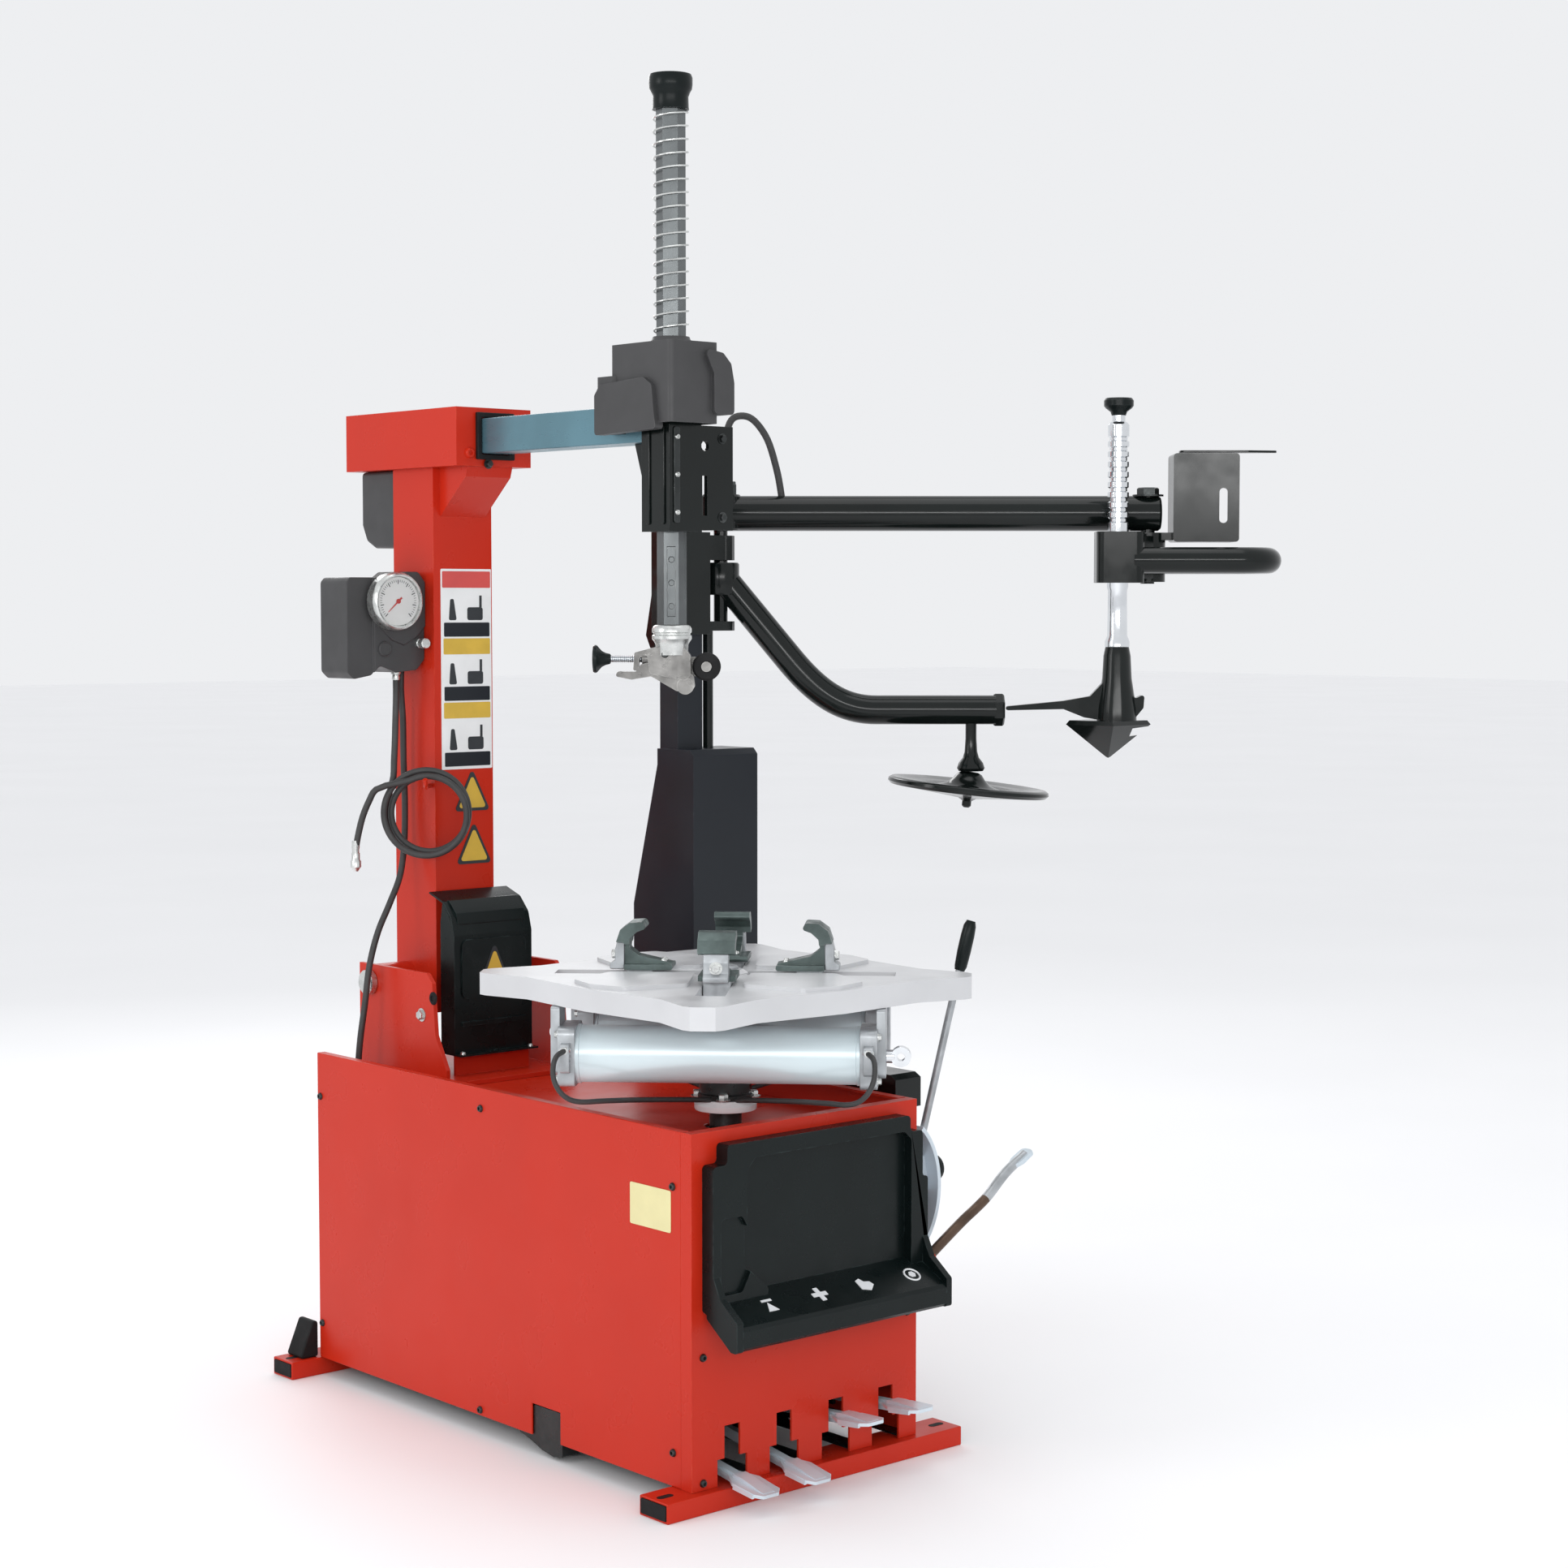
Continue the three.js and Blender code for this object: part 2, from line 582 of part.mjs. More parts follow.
function buildTool() {
  const arm = block([-ARM_HALF, ARM_HALF], [352 + GAP, 1000], ARM_Z);
  add(machine, 'horizontal_arm', arm, ARM_METAL);
  add(machine, 'lock_head', lockHead(), BLACK);
  add(machine, 'lock_cover', lockCover(), CHARCOAL);
  const shaft = place(machine, 0, SHAFT_Y, 0);
  add(shaft, 'hex_shaft', hexShaft(), DARK_STEEL);
  add(shaft, 'shaft_spring', shaftSpring(), STEEL);
  const tool = place(machine, 0, SHAFT_Y, 0, HELP_ANGLE);
  add(tool, 'mount_head', mountHead(), STEEL);
  add(tool, 'adjuster_knob', adjusterKnob(), BLACK);
  add(tool, 'head_roller', headRoller(), BLACK);
}

// ---- Turntable ----
const TABLE_BOTTOM = TABLE_TOP - TABLE_THICK;

function turnedBy(angle) {
  return ([x, y]) => [x * Math.cos(angle) - y * Math.sin(angle), x * Math.sin(angle) + y * Math.cos(angle)];
}

function tablePlate() {
  const outline = [];
  const slots = [];
  for (let quarter = 0; quarter < 4; quarter++) {
    const tip = (quarter + 0.5) * Math.PI / 2;
    const corner = [[TABLE_TIP - 10, -30], [TABLE_TIP, -18], [TABLE_TIP, 18], [TABLE_TIP - 10, 30]];
    outline.push(...corner.map(turnedBy(tip)), turnedBy(tip + Math.PI / 4)([TABLE_SIDE, 0]));
    const slot = [[35, -22], [261, -22], [261, 22], [35, 22]];
    slots.push(prism('z', slot.map(turnedBy(tip)), TABLE_BOTTOM - 1, TABLE_TOP + 9));
  }
  const slab = prism('z', outline, TABLE_BOTTOM, TABLE_TOP - 6);
  const under = bar('z', [0, 0], 225, TABLE_BOTTOM - 1, TABLE_BOTTOM + 14, 16);
  const hub = bar('z', [0, 0], 34, TABLE_BOTTOM, TABLE_TOP - 6, 16);
  const pads = [0, 1, 2, 3].map((i) => {
    const points = [[60, 0], [150, -92], [246, -60], [262, 0], [246, 60], [150, 92]];
    return prism('z', points.map(turnedBy(i * Math.PI / 2)), TABLE_TOP - 10, TABLE_TOP);
  });
  const ribs = [0, 1].map((i) => {
    const rib = [[-250, -6], [250, -6], [250, 6], [-250, 6]];
    return prism('z', rib.map(turnedBy(i * Math.PI / 2)), TABLE_BOTTOM, TABLE_TOP - 6);
  });
  return cut(join(cut(slab, under), hub, ...pads, ...ribs), ...slots);
}

function spindle() {
  const top = TABLE_BOTTOM - GAP;
  return turned([
    [0, 500.3], [25, 500.3], [25, 541], [48, 541], [48, 552], [43, 552], [43, 589],
    [30, 589], [30, 700], [60, 700], [60, top], [0, top],
  ]);
}

// Built at the turntable's centre, its slider along +X.
function jaw() {
  const top = TABLE_TOP + 0.6;
  const claw = prism('y', [
    [-52, top], [44, top], [44, top + 8], [32, top + 16], [34, top + 44], [28, top + 62], [12, top + 72],
    [-6, top + 72], [-10, top + 64], [2, top + 60], [14, top + 50], [16, top + 34], [6, top + 20], [-52, top + 8],
  ], -28, 28);
  const slider = block([-20, 20], [-21, 21], [TABLE_BOTTOM - 3, top + 2]);
  const keeper = block([-24, 24], [-30, 30], [TABLE_BOTTOM - 7, TABLE_BOTTOM - 1.2]);
  return join(claw, slider, keeper);
}

// A clamp cylinder along X with square end caps and the lugs that hang it from the plate.
// The rod's eye draws back through the lug on its side.
function clampCylinder() {
  const z = CYLINDER_Z;
  const barrel = bar('x', [0, z], 43, -216, 216, 20);
  const square = chamfered([-45, 45], [z - 45, z + 45], 10);
  const caps = [[-238, -212], [212, 238]].map(([from, to]) => prism('x', square, from, to));
  const lugs = [[-250, -236], [236, 250]].map((x) => block(x, [-30, 30], [z - 30, TABLE_BOTTOM - GAP]));
  return cut(
    join(barrel, ...caps, ...lugs),
    bore('x', [0, z], 10.5, 120, 260),
    bore('x', [0, z], 17, 237, 251, 16),
  );
}

function clampRod() {
  const rod = bar('x', [0, CYLINDER_Z], 10, 140, 268);
  return join(rod, bar('y', [272, CYLINDER_Z], 15, -9, 9));
}

function buildTurntable() {
  const table = place(machine, 0, TABLE_Y, 0);
  add(table, 'turntable_plate', tablePlate(), WHITE_METAL);
  add(table, 'turntable_spindle', spindle(), DARK_STEEL);
  for (let i = 0; i < 4; i++) {
    const direction = (i + 0.5) * Math.PI / 2;
    const seat = new THREE.Group();
    seat.rotation.z = direction;
    table.add(seat);
    add(seat, `jaw_${i + 1}`, jaw(), JAW_METAL).position.x = JAW_REST;
  }
  const sides = [['front', -Math.PI / 4], ['rear', 3 * Math.PI / 4]];
  for (const [side, turn] of sides) {
    const seat = new THREE.Group();
    seat.rotation.z = turn;
    table.add(seat);
    for (const [name, make, material] of [
      [`clamp_cylinder_${side}`, clampCylinder, CYLINDER_METAL],
      [`clamp_rod_${side}`, clampRod, CHROME],
    ]) add(seat, name, make(), material).position.y = -CYLINDER_OFFSET;
  }
}

// ---- Help arm ----
const POST_X = [243, 297];
const POST_Y = [602, 650];
const LIFT_ROD = { x: 320, y: 615 };

function helpPost() {
  const box = prism('x', [[557, 60], [654, 60], [654, 1070], [567, 1070], [557, 1060]], 240, 382);
  const mast = block(POST_X, POST_Y, [1060, 1448]);
  const fin = prism('x', [[652, 60], [720, 60], [720, 800], [652, 1050]], 240, 248);
  const feet = [[110, 180], [400, 480]].map((z) => block([CABINET_HALF + GAP, 242], [560, 650], z));
  return cut(join(box, mast, fin, ...feet), bore('z', [LIFT_ROD.x, LIFT_ROD.y], 9.5, 680, 1071));
}

function carriage() {
  const sleeve = cut(
    block([POST_X[0] - 10, POST_X[1] + 10], [POST_Y[0] - 10, POST_Y[1] + 10], [1264, 1437]),
    block([POST_X[0] - 1.5, POST_X[1] + 1.5], [POST_Y[0] - 1.5, POST_Y[1] + 1.5], [1260, 1440]),
  );
  const { x, y } = HELP_PIVOT;
  const lugs = [[1270, 1286], [1390, 1432]].map(([low, high]) => join(
    block([300, x], [y - 22, y + 22], [low, high]),
    bar('z', [x, y], 24, low, high),
  ));
  const pin = join(bar('z', [x, y], 12, 1270, 1512), bar('z', [x, y], 20, 1504, 1514, 6));
  const rod = bar('z', [LIFT_ROD.x, LIFT_ROD.y], 9, 900, 1275);
  const fin = prism('x', [
    [658, 1437], [672, 1437], [712, 1262], [700, 1240], [690, 1240], [658, 1310],
  ], 262, 270);
  return join(sleeve, ...lugs, pin, rod, fin);
}

// The pieces below are built along +X from the help arm's pivot.
function upperArm() {
  const arm = bar('x', [0, UPPER_ARM_Z], 30, 10, 752, 16);
  const hub = bar('z', [0, 0], 36, 1440.5, 1502, 16);
  const elbowPin = bar('z', [ELBOW_X, 0], 12, 1350, 1502);
  const nut = bar('z', [ELBOW_X, 0], 19, 1499, 1514, 6);
  const hose = tube(smooth([
    [8, 0, 1540], [9, 0, 1600], [22, 0, 1632], [48, 0, 1634], [76, 0, 1604], [96, 0, 1545], [106, 0, 1490],
  ]), 6, 8, 9);
  const hoseFoot = bar('z', [8, 0], 9, 1515, 1545, 12);
  const hoseClip = [block([-16, 26], [-16, 16], [1517, 1524]), block([21, 27], [-8, 8], [1498, 1520])];
  return cut(
    join(arm, hub, elbowPin, nut, hose, hoseFoot, ...hoseClip),
    bore('z', [0, 0], 12.4, 1400, 1510),
  );
}

function pressLink() {
  const { x, y } = PRESS;
  const low = 1351;
  const high = 1437;
  const hub = bar('z', [ELBOW_X, 0], 30, low + 2, high, 16);
  const sleeve = prism('z', chamfered([x - 38, x + 42], [y - 36, y + 36], 14), low, high);
  const web = prism('z', [
    [x, y + 30], [x + 36, y + 8], [ELBOW_X + 26, -8], [ELBOW_X - 14, 26],
  ], low + 8, high - 6);
  const neck = block([ELBOW_X, 776], [-22, 22], [1421, high]);
  return cut(
    join(hub, sleeve, web, handle(), neck, controlBox()),
    bore('z', [ELBOW_X, 0], 12.4, low - 5, high + 5),
    bore('z', [x, y], 18.4, low - 5, high + 5, 16),
  );
}

// A round bar out from the sleeve, back in a half turn, and in to the elbow.
function handle() {
  const bend = 55;
  const far = 877;
  const z = 1389;
  const middle = PRESS.y + 39;
  const leg = (x0, x1, y) => new THREE.LineCurve3(new THREE.Vector3(x0, y, z), new THREE.Vector3(x1, y, z));
  const loop = new THREE.CurvePath();
  loop.add(leg(PRESS.x + 20, far, middle - bend));
  loop.add(halfTurn(far, middle, bend, z));
  loop.add(leg(far, ELBOW_X + 8, middle + bend));
  return tube(loop, 22, 10, 22);
}

function halfTurn(x, y, radius, z) {
  const arc = new THREE.Curve();
  arc.getPoint = (t, target = new THREE.Vector3()) => {
    const turn = (t - 0.5) * Math.PI;
    return target.set(x + radius * Math.cos(turn), y + radius * Math.sin(turn), z);
  };
  return arc;
}

// Bent sheet, open at the back, with a slot in its front wall.
function controlBox() {
  const [x0, x1] = [770, 882];
  const [y0, y1] = [-35, 35];
  const [z0, z1] = [1421, 1571];
  const sheet = 3;
  const slot = block([848, 862], [y0 - 1, y0 + sheet + 1], [1453, 1512]);
  const front = cut(block([x0, x1], [y0, y0 + sheet], [z0, z1]), slot);
  return join(
    front,
    block([x0, x0 + sheet], [y0, y1], [z0, z1]),
    block([x1 - sheet, x1], [y0, y1], [z0 + 90, z1]),
    block([x0, x1], [y0, y1], [z0, z0 + sheet]),
    block([x0, x1], [y0, y1], [z1 - sheet, z1]),
  );
}

function controlLever() {
  const plate = prism('z', [[786, -14], [900, -14], [950, -3], [950, 3], [900, 14], [786, 14]], 1573, 1577);
  return join(plate, bar('z', [800, 0], 9, 1571.4, 1582, 12));
}

function pressRod() {
  return turned([
    [0, 1243.4], [21, 1243.4], [21, 1252], [16, 1338], [18, 1344], [18, 1618],
    [11, 1622], [11, 1636], [20, 1644], [25, 1650], [25, 1658], [22, 1661], [0, 1661],
  ]).translate(PRESS.x, PRESS.y, 0);
}

function pressFoot() {
  const { x, y } = PRESS;
  const sleeve = turned([
    [0, 1118], [34, 1118], [32, 1150], [25, 1190], [23, 1228], [20, 1243], [0, 1243],
  ], 14).translate(x, y, 0);
  const beak = prism('y', [
    [x, 1178], [x - 22, 1186], [x - 46, 1160], [x - 91, 1152], [x - 186, 1143], [x - 188, 1136], [x - 91, 1138],
    [x - 56, 1124], [x - 20, 1118], [x, 1118],
  ], y - 9, y + 9);
  const hook = prism('y', [
    [x, 1120], [x + 26, 1118], [x + 44, 1140], [x + 46, 1164], [x + 30, 1156], [x + 16, 1176], [x, 1178],
  ], y - 12, y + 12);
  const wedge = new THREE.ConeGeometry(83, 64, 4).rotateY(Math.PI / 4).rotateX(-Math.PI / 2)
    .translate(x - 14, y, 1087);
  return join(sleeve, beak, hook, wedge);
}

function lowerArm() {
  const level = 1134;
  const [start, ...knee] = [[6, 1357], [118, 1221], [170, 1158], [212, level], [268, level]]
    .map(([x, z]) => new THREE.Vector3(x, 0, z));
  const path = new THREE.CurvePath();
  path.add(new THREE.LineCurve3(start, knee[0]));
  path.add(new THREE.CubicBezierCurve3(...knee));
  path.add(new THREE.LineCurve3(knee[3], new THREE.Vector3(472, 0, level)));
  const arm = tube(path, 25, 12, 12);
  const hub = bar('z', [0, 0], 32, 1331, 1386, 16);
  const end = bar('x', [0, level], 27, 470, 487, 6);
  const stem = bar('z', [430, 0], 9, 1046, 1120);
  const ball = new THREE.SphereGeometry(14, 12, 8).translate(430, 0, 1042);
  return cut(join(arm, hub, end, stem, ball), bore('z', [0, 0], 12.4, 1262, 1390));
}

// A shallow cone that spins on its own axis, built with that axis upright.
function liftDisc() {
  return turned([
    [0, -38], [8, -38], [8, -26], [16, -22], [60, -17], [134, -9], [139, -3], [137, 3], [128, 4],
    [60, -4], [34, 2], [24, 14], [17, 22], [0, 22],
  ], 24);
}

const DISC_TILT = 6 * Math.PI / 180;

function buildHelpArm() {
  add(machine, 'help_post', helpPost(), NAVY);
  add(machine, 'carriage', carriage(), BLACK);
  const arm = place(machine, HELP_PIVOT.x, HELP_PIVOT.y, 0, HELP_ANGLE);
  add(arm, 'upper_arm', upperArm(), BLACK);
  add(arm, 'press_link', pressLink(), BLACK);
  add(arm, 'control_lever', controlLever(), BLACK);
  add(arm, 'press_rod', pressRod(), CHROME);
  add(arm, 'press_foot', pressFoot(), BLACK);
  add(arm, 'lower_arm', lowerArm(), BLACK);
  const disc = add(arm, 'lift_disc', liftDisc(), BLACK);
  disc.position.set(426, 0, 1004);
  disc.rotation.y = DISC_TILT;
}

// ---- Bead breaker ----
function breakerArm() {
  const { x, y } = BREAKER_PIVOT;
  const arm = prism('x', [
    [79, 524], [92, 520], [y + 25, 520.5], [y + 25, 576.5], [92, 577], [79, 570],
  ], 255, 310);
  const knuckle = block([262, 292], [82, 128], [455, 525]);
  const lug = block([268, 300], [BREAKER_ROD.y - 22, BREAKER_ROD.y + 22], [398, 525]);
  const bladePin = bar('z', [BLADE_HINGE.x, BLADE_HINGE.y], 10, 372, 470);
  return cut(join(arm, knuckle, lug, bladePin), bore('z', [x, y], 11.4, 500, 600));
}

// Curved blade with its hinge tube and the pull handle.
function breakerBlade() {
  const { x, y } = BLADE_HINGE;
  const steps = 8;
  const edge = (radius) => Array.from({ length: steps + 1 }, (_, i) => {
    const turn = (i / steps - 0.5) * 1.9;
    return [234 + radius * Math.cos(turn), 395 + radius * Math.sin(turn)];
  });
  const blade = prism('y', [...edge(120), ...edge(112).reverse()], 66, 240);
  const hub = bar('z', [x, y], 20, 376, 450);
  const web = block([x + 6, 346], [y - 14, y + 14], [384, 440]);
  const knob = bar('x', [y, 432], 22, 348, 372, 6);
  const stub = bar('x', [y, 432], 10, 330, 360);
  const straight = (a, b) => new THREE.LineCurve3(new THREE.Vector3(...a), new THREE.Vector3(...b));
  const rod = tube(straight([322, 88, 474], [378, 59, 745]), 6, 8, 1);
  const grip = tube(straight([376, 60, 735], [392, 50, 815]), 13, 12, 1);
  return cut(join(blade, hub, web, knob, stub, rod, grip), bore('z', [x, y], 10.4, 360, 460));
}

function breakerCylinder() {
  const axis = [BREAKER_ROD.y, BREAKER_ROD.z];
  const barrel = bar('x', axis, 75, -150, 120, 20);
  const caps = [[-162, -146], [112, 128]].map(([from, to]) => bar('x', axis, 84, from, to, 20));
  return cut(join(barrel, ...caps), bore('x', axis, 12.5, -140, 130));
}

function breakerRod() {
  const axis = [BREAKER_ROD.y, BREAKER_ROD.z];
  return join(bar('x', axis, 12, -60, 266), bar('x', axis, 17, 240, 266));
}

// The loose bar that lifts a tyre bead over the tool. Its foot stands in the socket on the front panel.
function tireLever() {
  const { x, y, z } = LEVER_FOOT;
  const curve = [[0, 0], [52, 33], [106, 66], [160, 96], [206, 132], [250, 156]];
  const path = smooth(curve.map(([u, v]) => [x + u, y, z + v]));
  const spoon = block([-20, 20], [-14, 14], [-3.5, 3.5]).rotateY(-0.5).translate(x + 240, y, z + 151);
  return join(tube(path, LEVER_RADIUS, 8, 12), spoon);
}

function buildBreaker() {
  add(machine, 'breaker_cylinder', breakerCylinder(), DARK_STEEL);
  add(machine, 'breaker_rod', breakerRod(), CHROME);
  add(machine, 'breaker_arm', breakerArm(), BLACK);
  add(machine, 'breaker_blade', breakerBlade(), STEEL);
  add(machine, 'tire_lever', tireLever(), DARK_STEEL);
}

buildCabinet();
buildColumn();
buildTool();
buildTurntable();
buildHelpArm();
buildBreaker();

export default machine;
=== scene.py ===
"""Looks of a tilt-back tire changer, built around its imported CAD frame.

Lengths are millimetres until a mesh is made.
"""

import math

import bmesh
import bpy
from mathutils import Matrix, Vector
from mathutils.geometry import interpolate_bezier


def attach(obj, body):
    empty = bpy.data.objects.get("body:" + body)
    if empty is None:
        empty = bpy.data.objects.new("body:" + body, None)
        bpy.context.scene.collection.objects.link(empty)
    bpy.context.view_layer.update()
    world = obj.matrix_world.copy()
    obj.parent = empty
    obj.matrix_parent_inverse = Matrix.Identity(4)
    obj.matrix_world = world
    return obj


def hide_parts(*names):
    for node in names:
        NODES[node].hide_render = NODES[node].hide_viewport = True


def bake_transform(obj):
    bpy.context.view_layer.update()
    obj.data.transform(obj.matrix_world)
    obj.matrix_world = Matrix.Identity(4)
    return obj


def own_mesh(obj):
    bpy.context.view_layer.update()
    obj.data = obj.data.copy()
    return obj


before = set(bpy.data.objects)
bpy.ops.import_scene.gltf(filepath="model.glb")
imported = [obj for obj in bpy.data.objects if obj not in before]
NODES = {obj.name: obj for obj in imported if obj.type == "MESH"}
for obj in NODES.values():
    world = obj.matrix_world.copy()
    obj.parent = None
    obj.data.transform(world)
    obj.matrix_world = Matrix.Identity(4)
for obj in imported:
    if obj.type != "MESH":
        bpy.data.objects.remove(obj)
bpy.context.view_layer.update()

MM = 0.001
HELP_TURN = math.radians(-41.3)  # direction of the help arm, and of the tool
HELP = Matrix.Translation((0.348, 0.614, 0)) @ Matrix.Rotation(HELP_TURN, 4, "Z")
TOOL = Matrix.Translation((0, 0.318, 0)) @ Matrix.Rotation(HELP_TURN, 4, "Z")
TABLE = Matrix.Translation((0, 0.19, 0))
TOOL_Y = 318  # the tool shaft stands on x = 0


# ---- Mesh helpers ----
def upright(axis, u, v, w):
    """A point of an outline, w along its axis: u, v are y, z along x; x, z along y; x, y along z."""
    return {"x": (w, u, v), "y": (u, w, v), "z": (u, v, w)}[axis]


def prism(axis, outline, low, high):
    bm = bmesh.new()
    rings = [[bm.verts.new(Vector(upright(axis, u, v, w)) * MM) for u, v in outline] for w in (low, high)]
    bm.faces.new(rings[0])
    bm.faces.new(rings[1])
    for i in range(len(outline)):
        j = (i + 1) % len(outline)
        bm.faces.new((rings[0][i], rings[0][j], rings[1][j], rings[1][i]))
    bmesh.ops.recalc_face_normals(bm, faces=bm.faces)
    return bm


def rect(u, v):
    return [(u[0], v[0]), (u[1], v[0]), (u[1], v[1]), (u[0], v[1])]


def block(x, y, z):
    return prism("z", rect(x, y), *z)


def ring(centre, radius, sides=40, turn=0.0):
    angles = [turn + 2 * math.pi * i / sides for i in range(sides)]
    return [(centre[0] + radius * math.cos(a), centre[1] + radius * math.sin(a)) for a in angles]


def bar(axis, centre, radius, low, high, sides=40):
    return prism(axis, ring(centre, radius, sides), low, high)


def rounded(outline, radius, steps=5, closed=True):
    """The same outline with its corners rounded, each by radius or by as much as its edges allow."""
    count = len(outline)
    points = []
    for i, point in enumerate(outline):
        p = Vector(point)
        if not closed and i in (0, count - 1):
            points.append(tuple(p))
            continue
        before, after = Vector(outline[i - 1]) - p, Vector(outline[(i + 1) % count]) - p
        half = before.angle(after) / 2
        if half > math.radians(88):
            points.append(tuple(p))
            continue
        room = 0.49 * min(before.length, after.length)
        reach = min(radius / math.tan(half), room)
        r = reach * math.tan(half)
        centre = p + (before.normalized() + after.normalized()).normalized() * (r / math.sin(half))
        a = p + before.normalized() * reach - centre
        b = p + after.normalized() * reach - centre
        sweep_angle = a.angle_signed(b)
        for k in range(steps + 1):
            turned = Matrix.Rotation(-sweep_angle * k / steps, 2) @ a
            points.append(tuple(centre + turned))
    return points


def strip(line, thickness, bend):
    """Outline of bent sheet metal: an open line, its bends rounded, given a thickness."""
    line = [Vector(p) for p in rounded(line, bend, 4, closed=False)]
    left, right = [], []
    for i, p in enumerate(line):
        along = (line[min(i + 1, len(line) - 1)] - line[max(i - 1, 0)]).normalized()
        side = Vector((-along.y, along.x)) * thickness / 2
        left.append(tuple(p + side))
        right.append(tuple(p - side))
    return left + right[::-1]


def lathe(profile, sides=48):
    """Turned about Z from [radius, z] points."""
    bm = bmesh.new()
    rows = []
    for r, z in profile:
        if r < 1e-6:
            rows.append([bm.verts.new((0, 0, z * MM))] * sides)
        else:
            rows.append([bm.verts.new((u * MM, v * MM, z * MM)) for u, v in ring((0, 0), r, sides)])
    for a, b in zip(rows, rows[1:]):
        for i in range(sides):
            j = (i + 1) % sides
            corners = list(dict.fromkeys((a[i], a[j], b[j], b[i])))
            if len(corners) > 2:
                bm.faces.new(corners)
    for row in (rows[0], rows[-1]):
        if len(set(row)) > 2:
            bm.faces.new(row)
    bmesh.ops.recalc_face_normals(bm, faces=bm.faces)
    return bm


def curve_points(points, per_span=8):
    """Points along a smooth centripetal curve through the given ones."""
    pts = [Vector(p) for p in points]
    pts = [2 * pts[0] - pts[1]] + pts + [2 * pts[-1] - pts[-2]]
    out = []
    for p0, p1, p2, p3 in zip(pts, pts[1:], pts[2:], pts[3:]):
        k = [0.0]
        for a, b in ((p0, p1), (p1, p2), (p2, p3)):
            k.append(k[-1] + math.sqrt((b - a).length))
        for i in range(per_span):
            t = k[1] + (k[2] - k[1]) * i / per_span
            a1 = p0.lerp(p1, (t - k[0]) / (k[1] - k[0]))
            a2 = p1.lerp(p2, (t - k[1]) / (k[2] - k[1]))
            a3 = p2.lerp(p3, (t - k[2]) / (k[3] - k[2]))
            b1 = a1.lerp(a2, (t - k[0]) / (k[2] - k[0]))
            b2 = a2.lerp(a3, (t - k[1]) / (k[3] - k[1]))
            out.append(b1.lerp(b2, (t - k[1]) / (k[2] - k[1])))
    return out + [Vector(points[-1])]


def sweep(points, radius, sides=20, closed=False):
    """A tube along points. radius is one number or one for each point."""
    pts = [Vector(p) for p in points]
    radii = radius if isinstance(radius, (list, tuple)) else [radius] * len(pts)
    circle = ring((0, 0), 1, sides)
    bm = bmesh.new()
    rows, normal = [], None
    for i, p in enumerate(pts):
        ahead = pts[(i + 1) % len(pts)] if closed else pts[min(i + 1, len(pts) - 1)]
        along = (ahead - pts[i - 1 if closed else max(i - 1, 0)]).normalized()
        if normal is None:
            normal = along.orthogonal().normalized() if abs(along.z) > 0.9 else Vector((0, 0, 1))
        normal = (normal - along * normal.dot(along)).normalized()
        other = along.cross(normal)
        rows.append([bm.verts.new((p + (normal * u + other * v) * radii[i]) * MM) for u, v in circle])
    pairs = list(zip(rows, rows[1:])) + ([(rows[-1], rows[0])] if closed else [])
    for a, b in pairs:
        for i in range(sides):
            j = (i + 1) % sides
            bm.faces.new((a[i], a[j], b[j], b[i]))
    if not closed:
        bm.faces.new(rows[0])
        bm.faces.new(rows[-1])
    bmesh.ops.recalc_face_normals(bm, faces=bm.faces)
    return bm


def joined(*parts):
    whole = bmesh.new()
    for part in parts:
        mesh = bpy.data.meshes.new("part")
        part.to_mesh(mesh)
        whole.from_mesh(mesh)
        bpy.data.meshes.remove(mesh)
    return whole


def moved(bm, matrix):
    bmesh.ops.transform(bm, matrix=matrix, verts=bm.verts)
    return bm


def shift(x, y, z):
    return Matrix.Translation(Vector((x, y, z)) * MM)


def spin(degrees, axis):
    return Matrix.Rotation(math.radians(degrees), 4, axis)


def solid_object(bm, name="tool"):
    mesh = bpy.data.meshes.new(name)
    bm.to_mesh(mesh)
    bm.free()
    obj = bpy.data.objects.new(name, mesh)
    bpy.context.scene.collection.objects.link(obj)
    return obj


def boolean(operation, body, *tools):
    """Body with the tools cut away from it or united with it, as one clean mesh."""
    objects = [solid_object(b) for b in (body, *tools)]
    for other in objects[1:]:
        modifier = objects[0].modifiers.new("cut", "BOOLEAN")
        modifier.operation, modifier.object, modifier.solver = operation, other, "EXACT"
    graph = bpy.context.evaluated_depsgraph_get()
    mesh = bpy.data.meshes.new_from_object(objects[0].evaluated_get(graph))
    bm = bmesh.new()
    bm.from_mesh(mesh)
    bpy.data.meshes.remove(mesh)
    for obj in objects:
        bpy.data.objects.remove(obj)
    bmesh.ops.dissolve_limit(bm, angle_limit=math.radians(FLAT_ANGLE), verts=bm.verts, edges=bm.edges)
    return bm


def carve(body, *tools):
    return boolean("DIFFERENCE", body, *tools)


def unite(body, *tools):
    return boolean("UNION", body, *tools)


SHARP_ANGLE, BEVEL_ANGLE, FLAT_ANGLE = 35, 28, 0.5  # degrees


def bevelled(obj, width, segments=2):
    modifier = obj.modifiers.new("bevel", "BEVEL")
    modifier.width, modifier.segments = width * MM, segments
    modifier.limit_method, modifier.angle_limit = "ANGLE", math.radians(BEVEL_ANGLE)
    modifier.harden_normals = True
    modifier.use_clamp_overlap = True


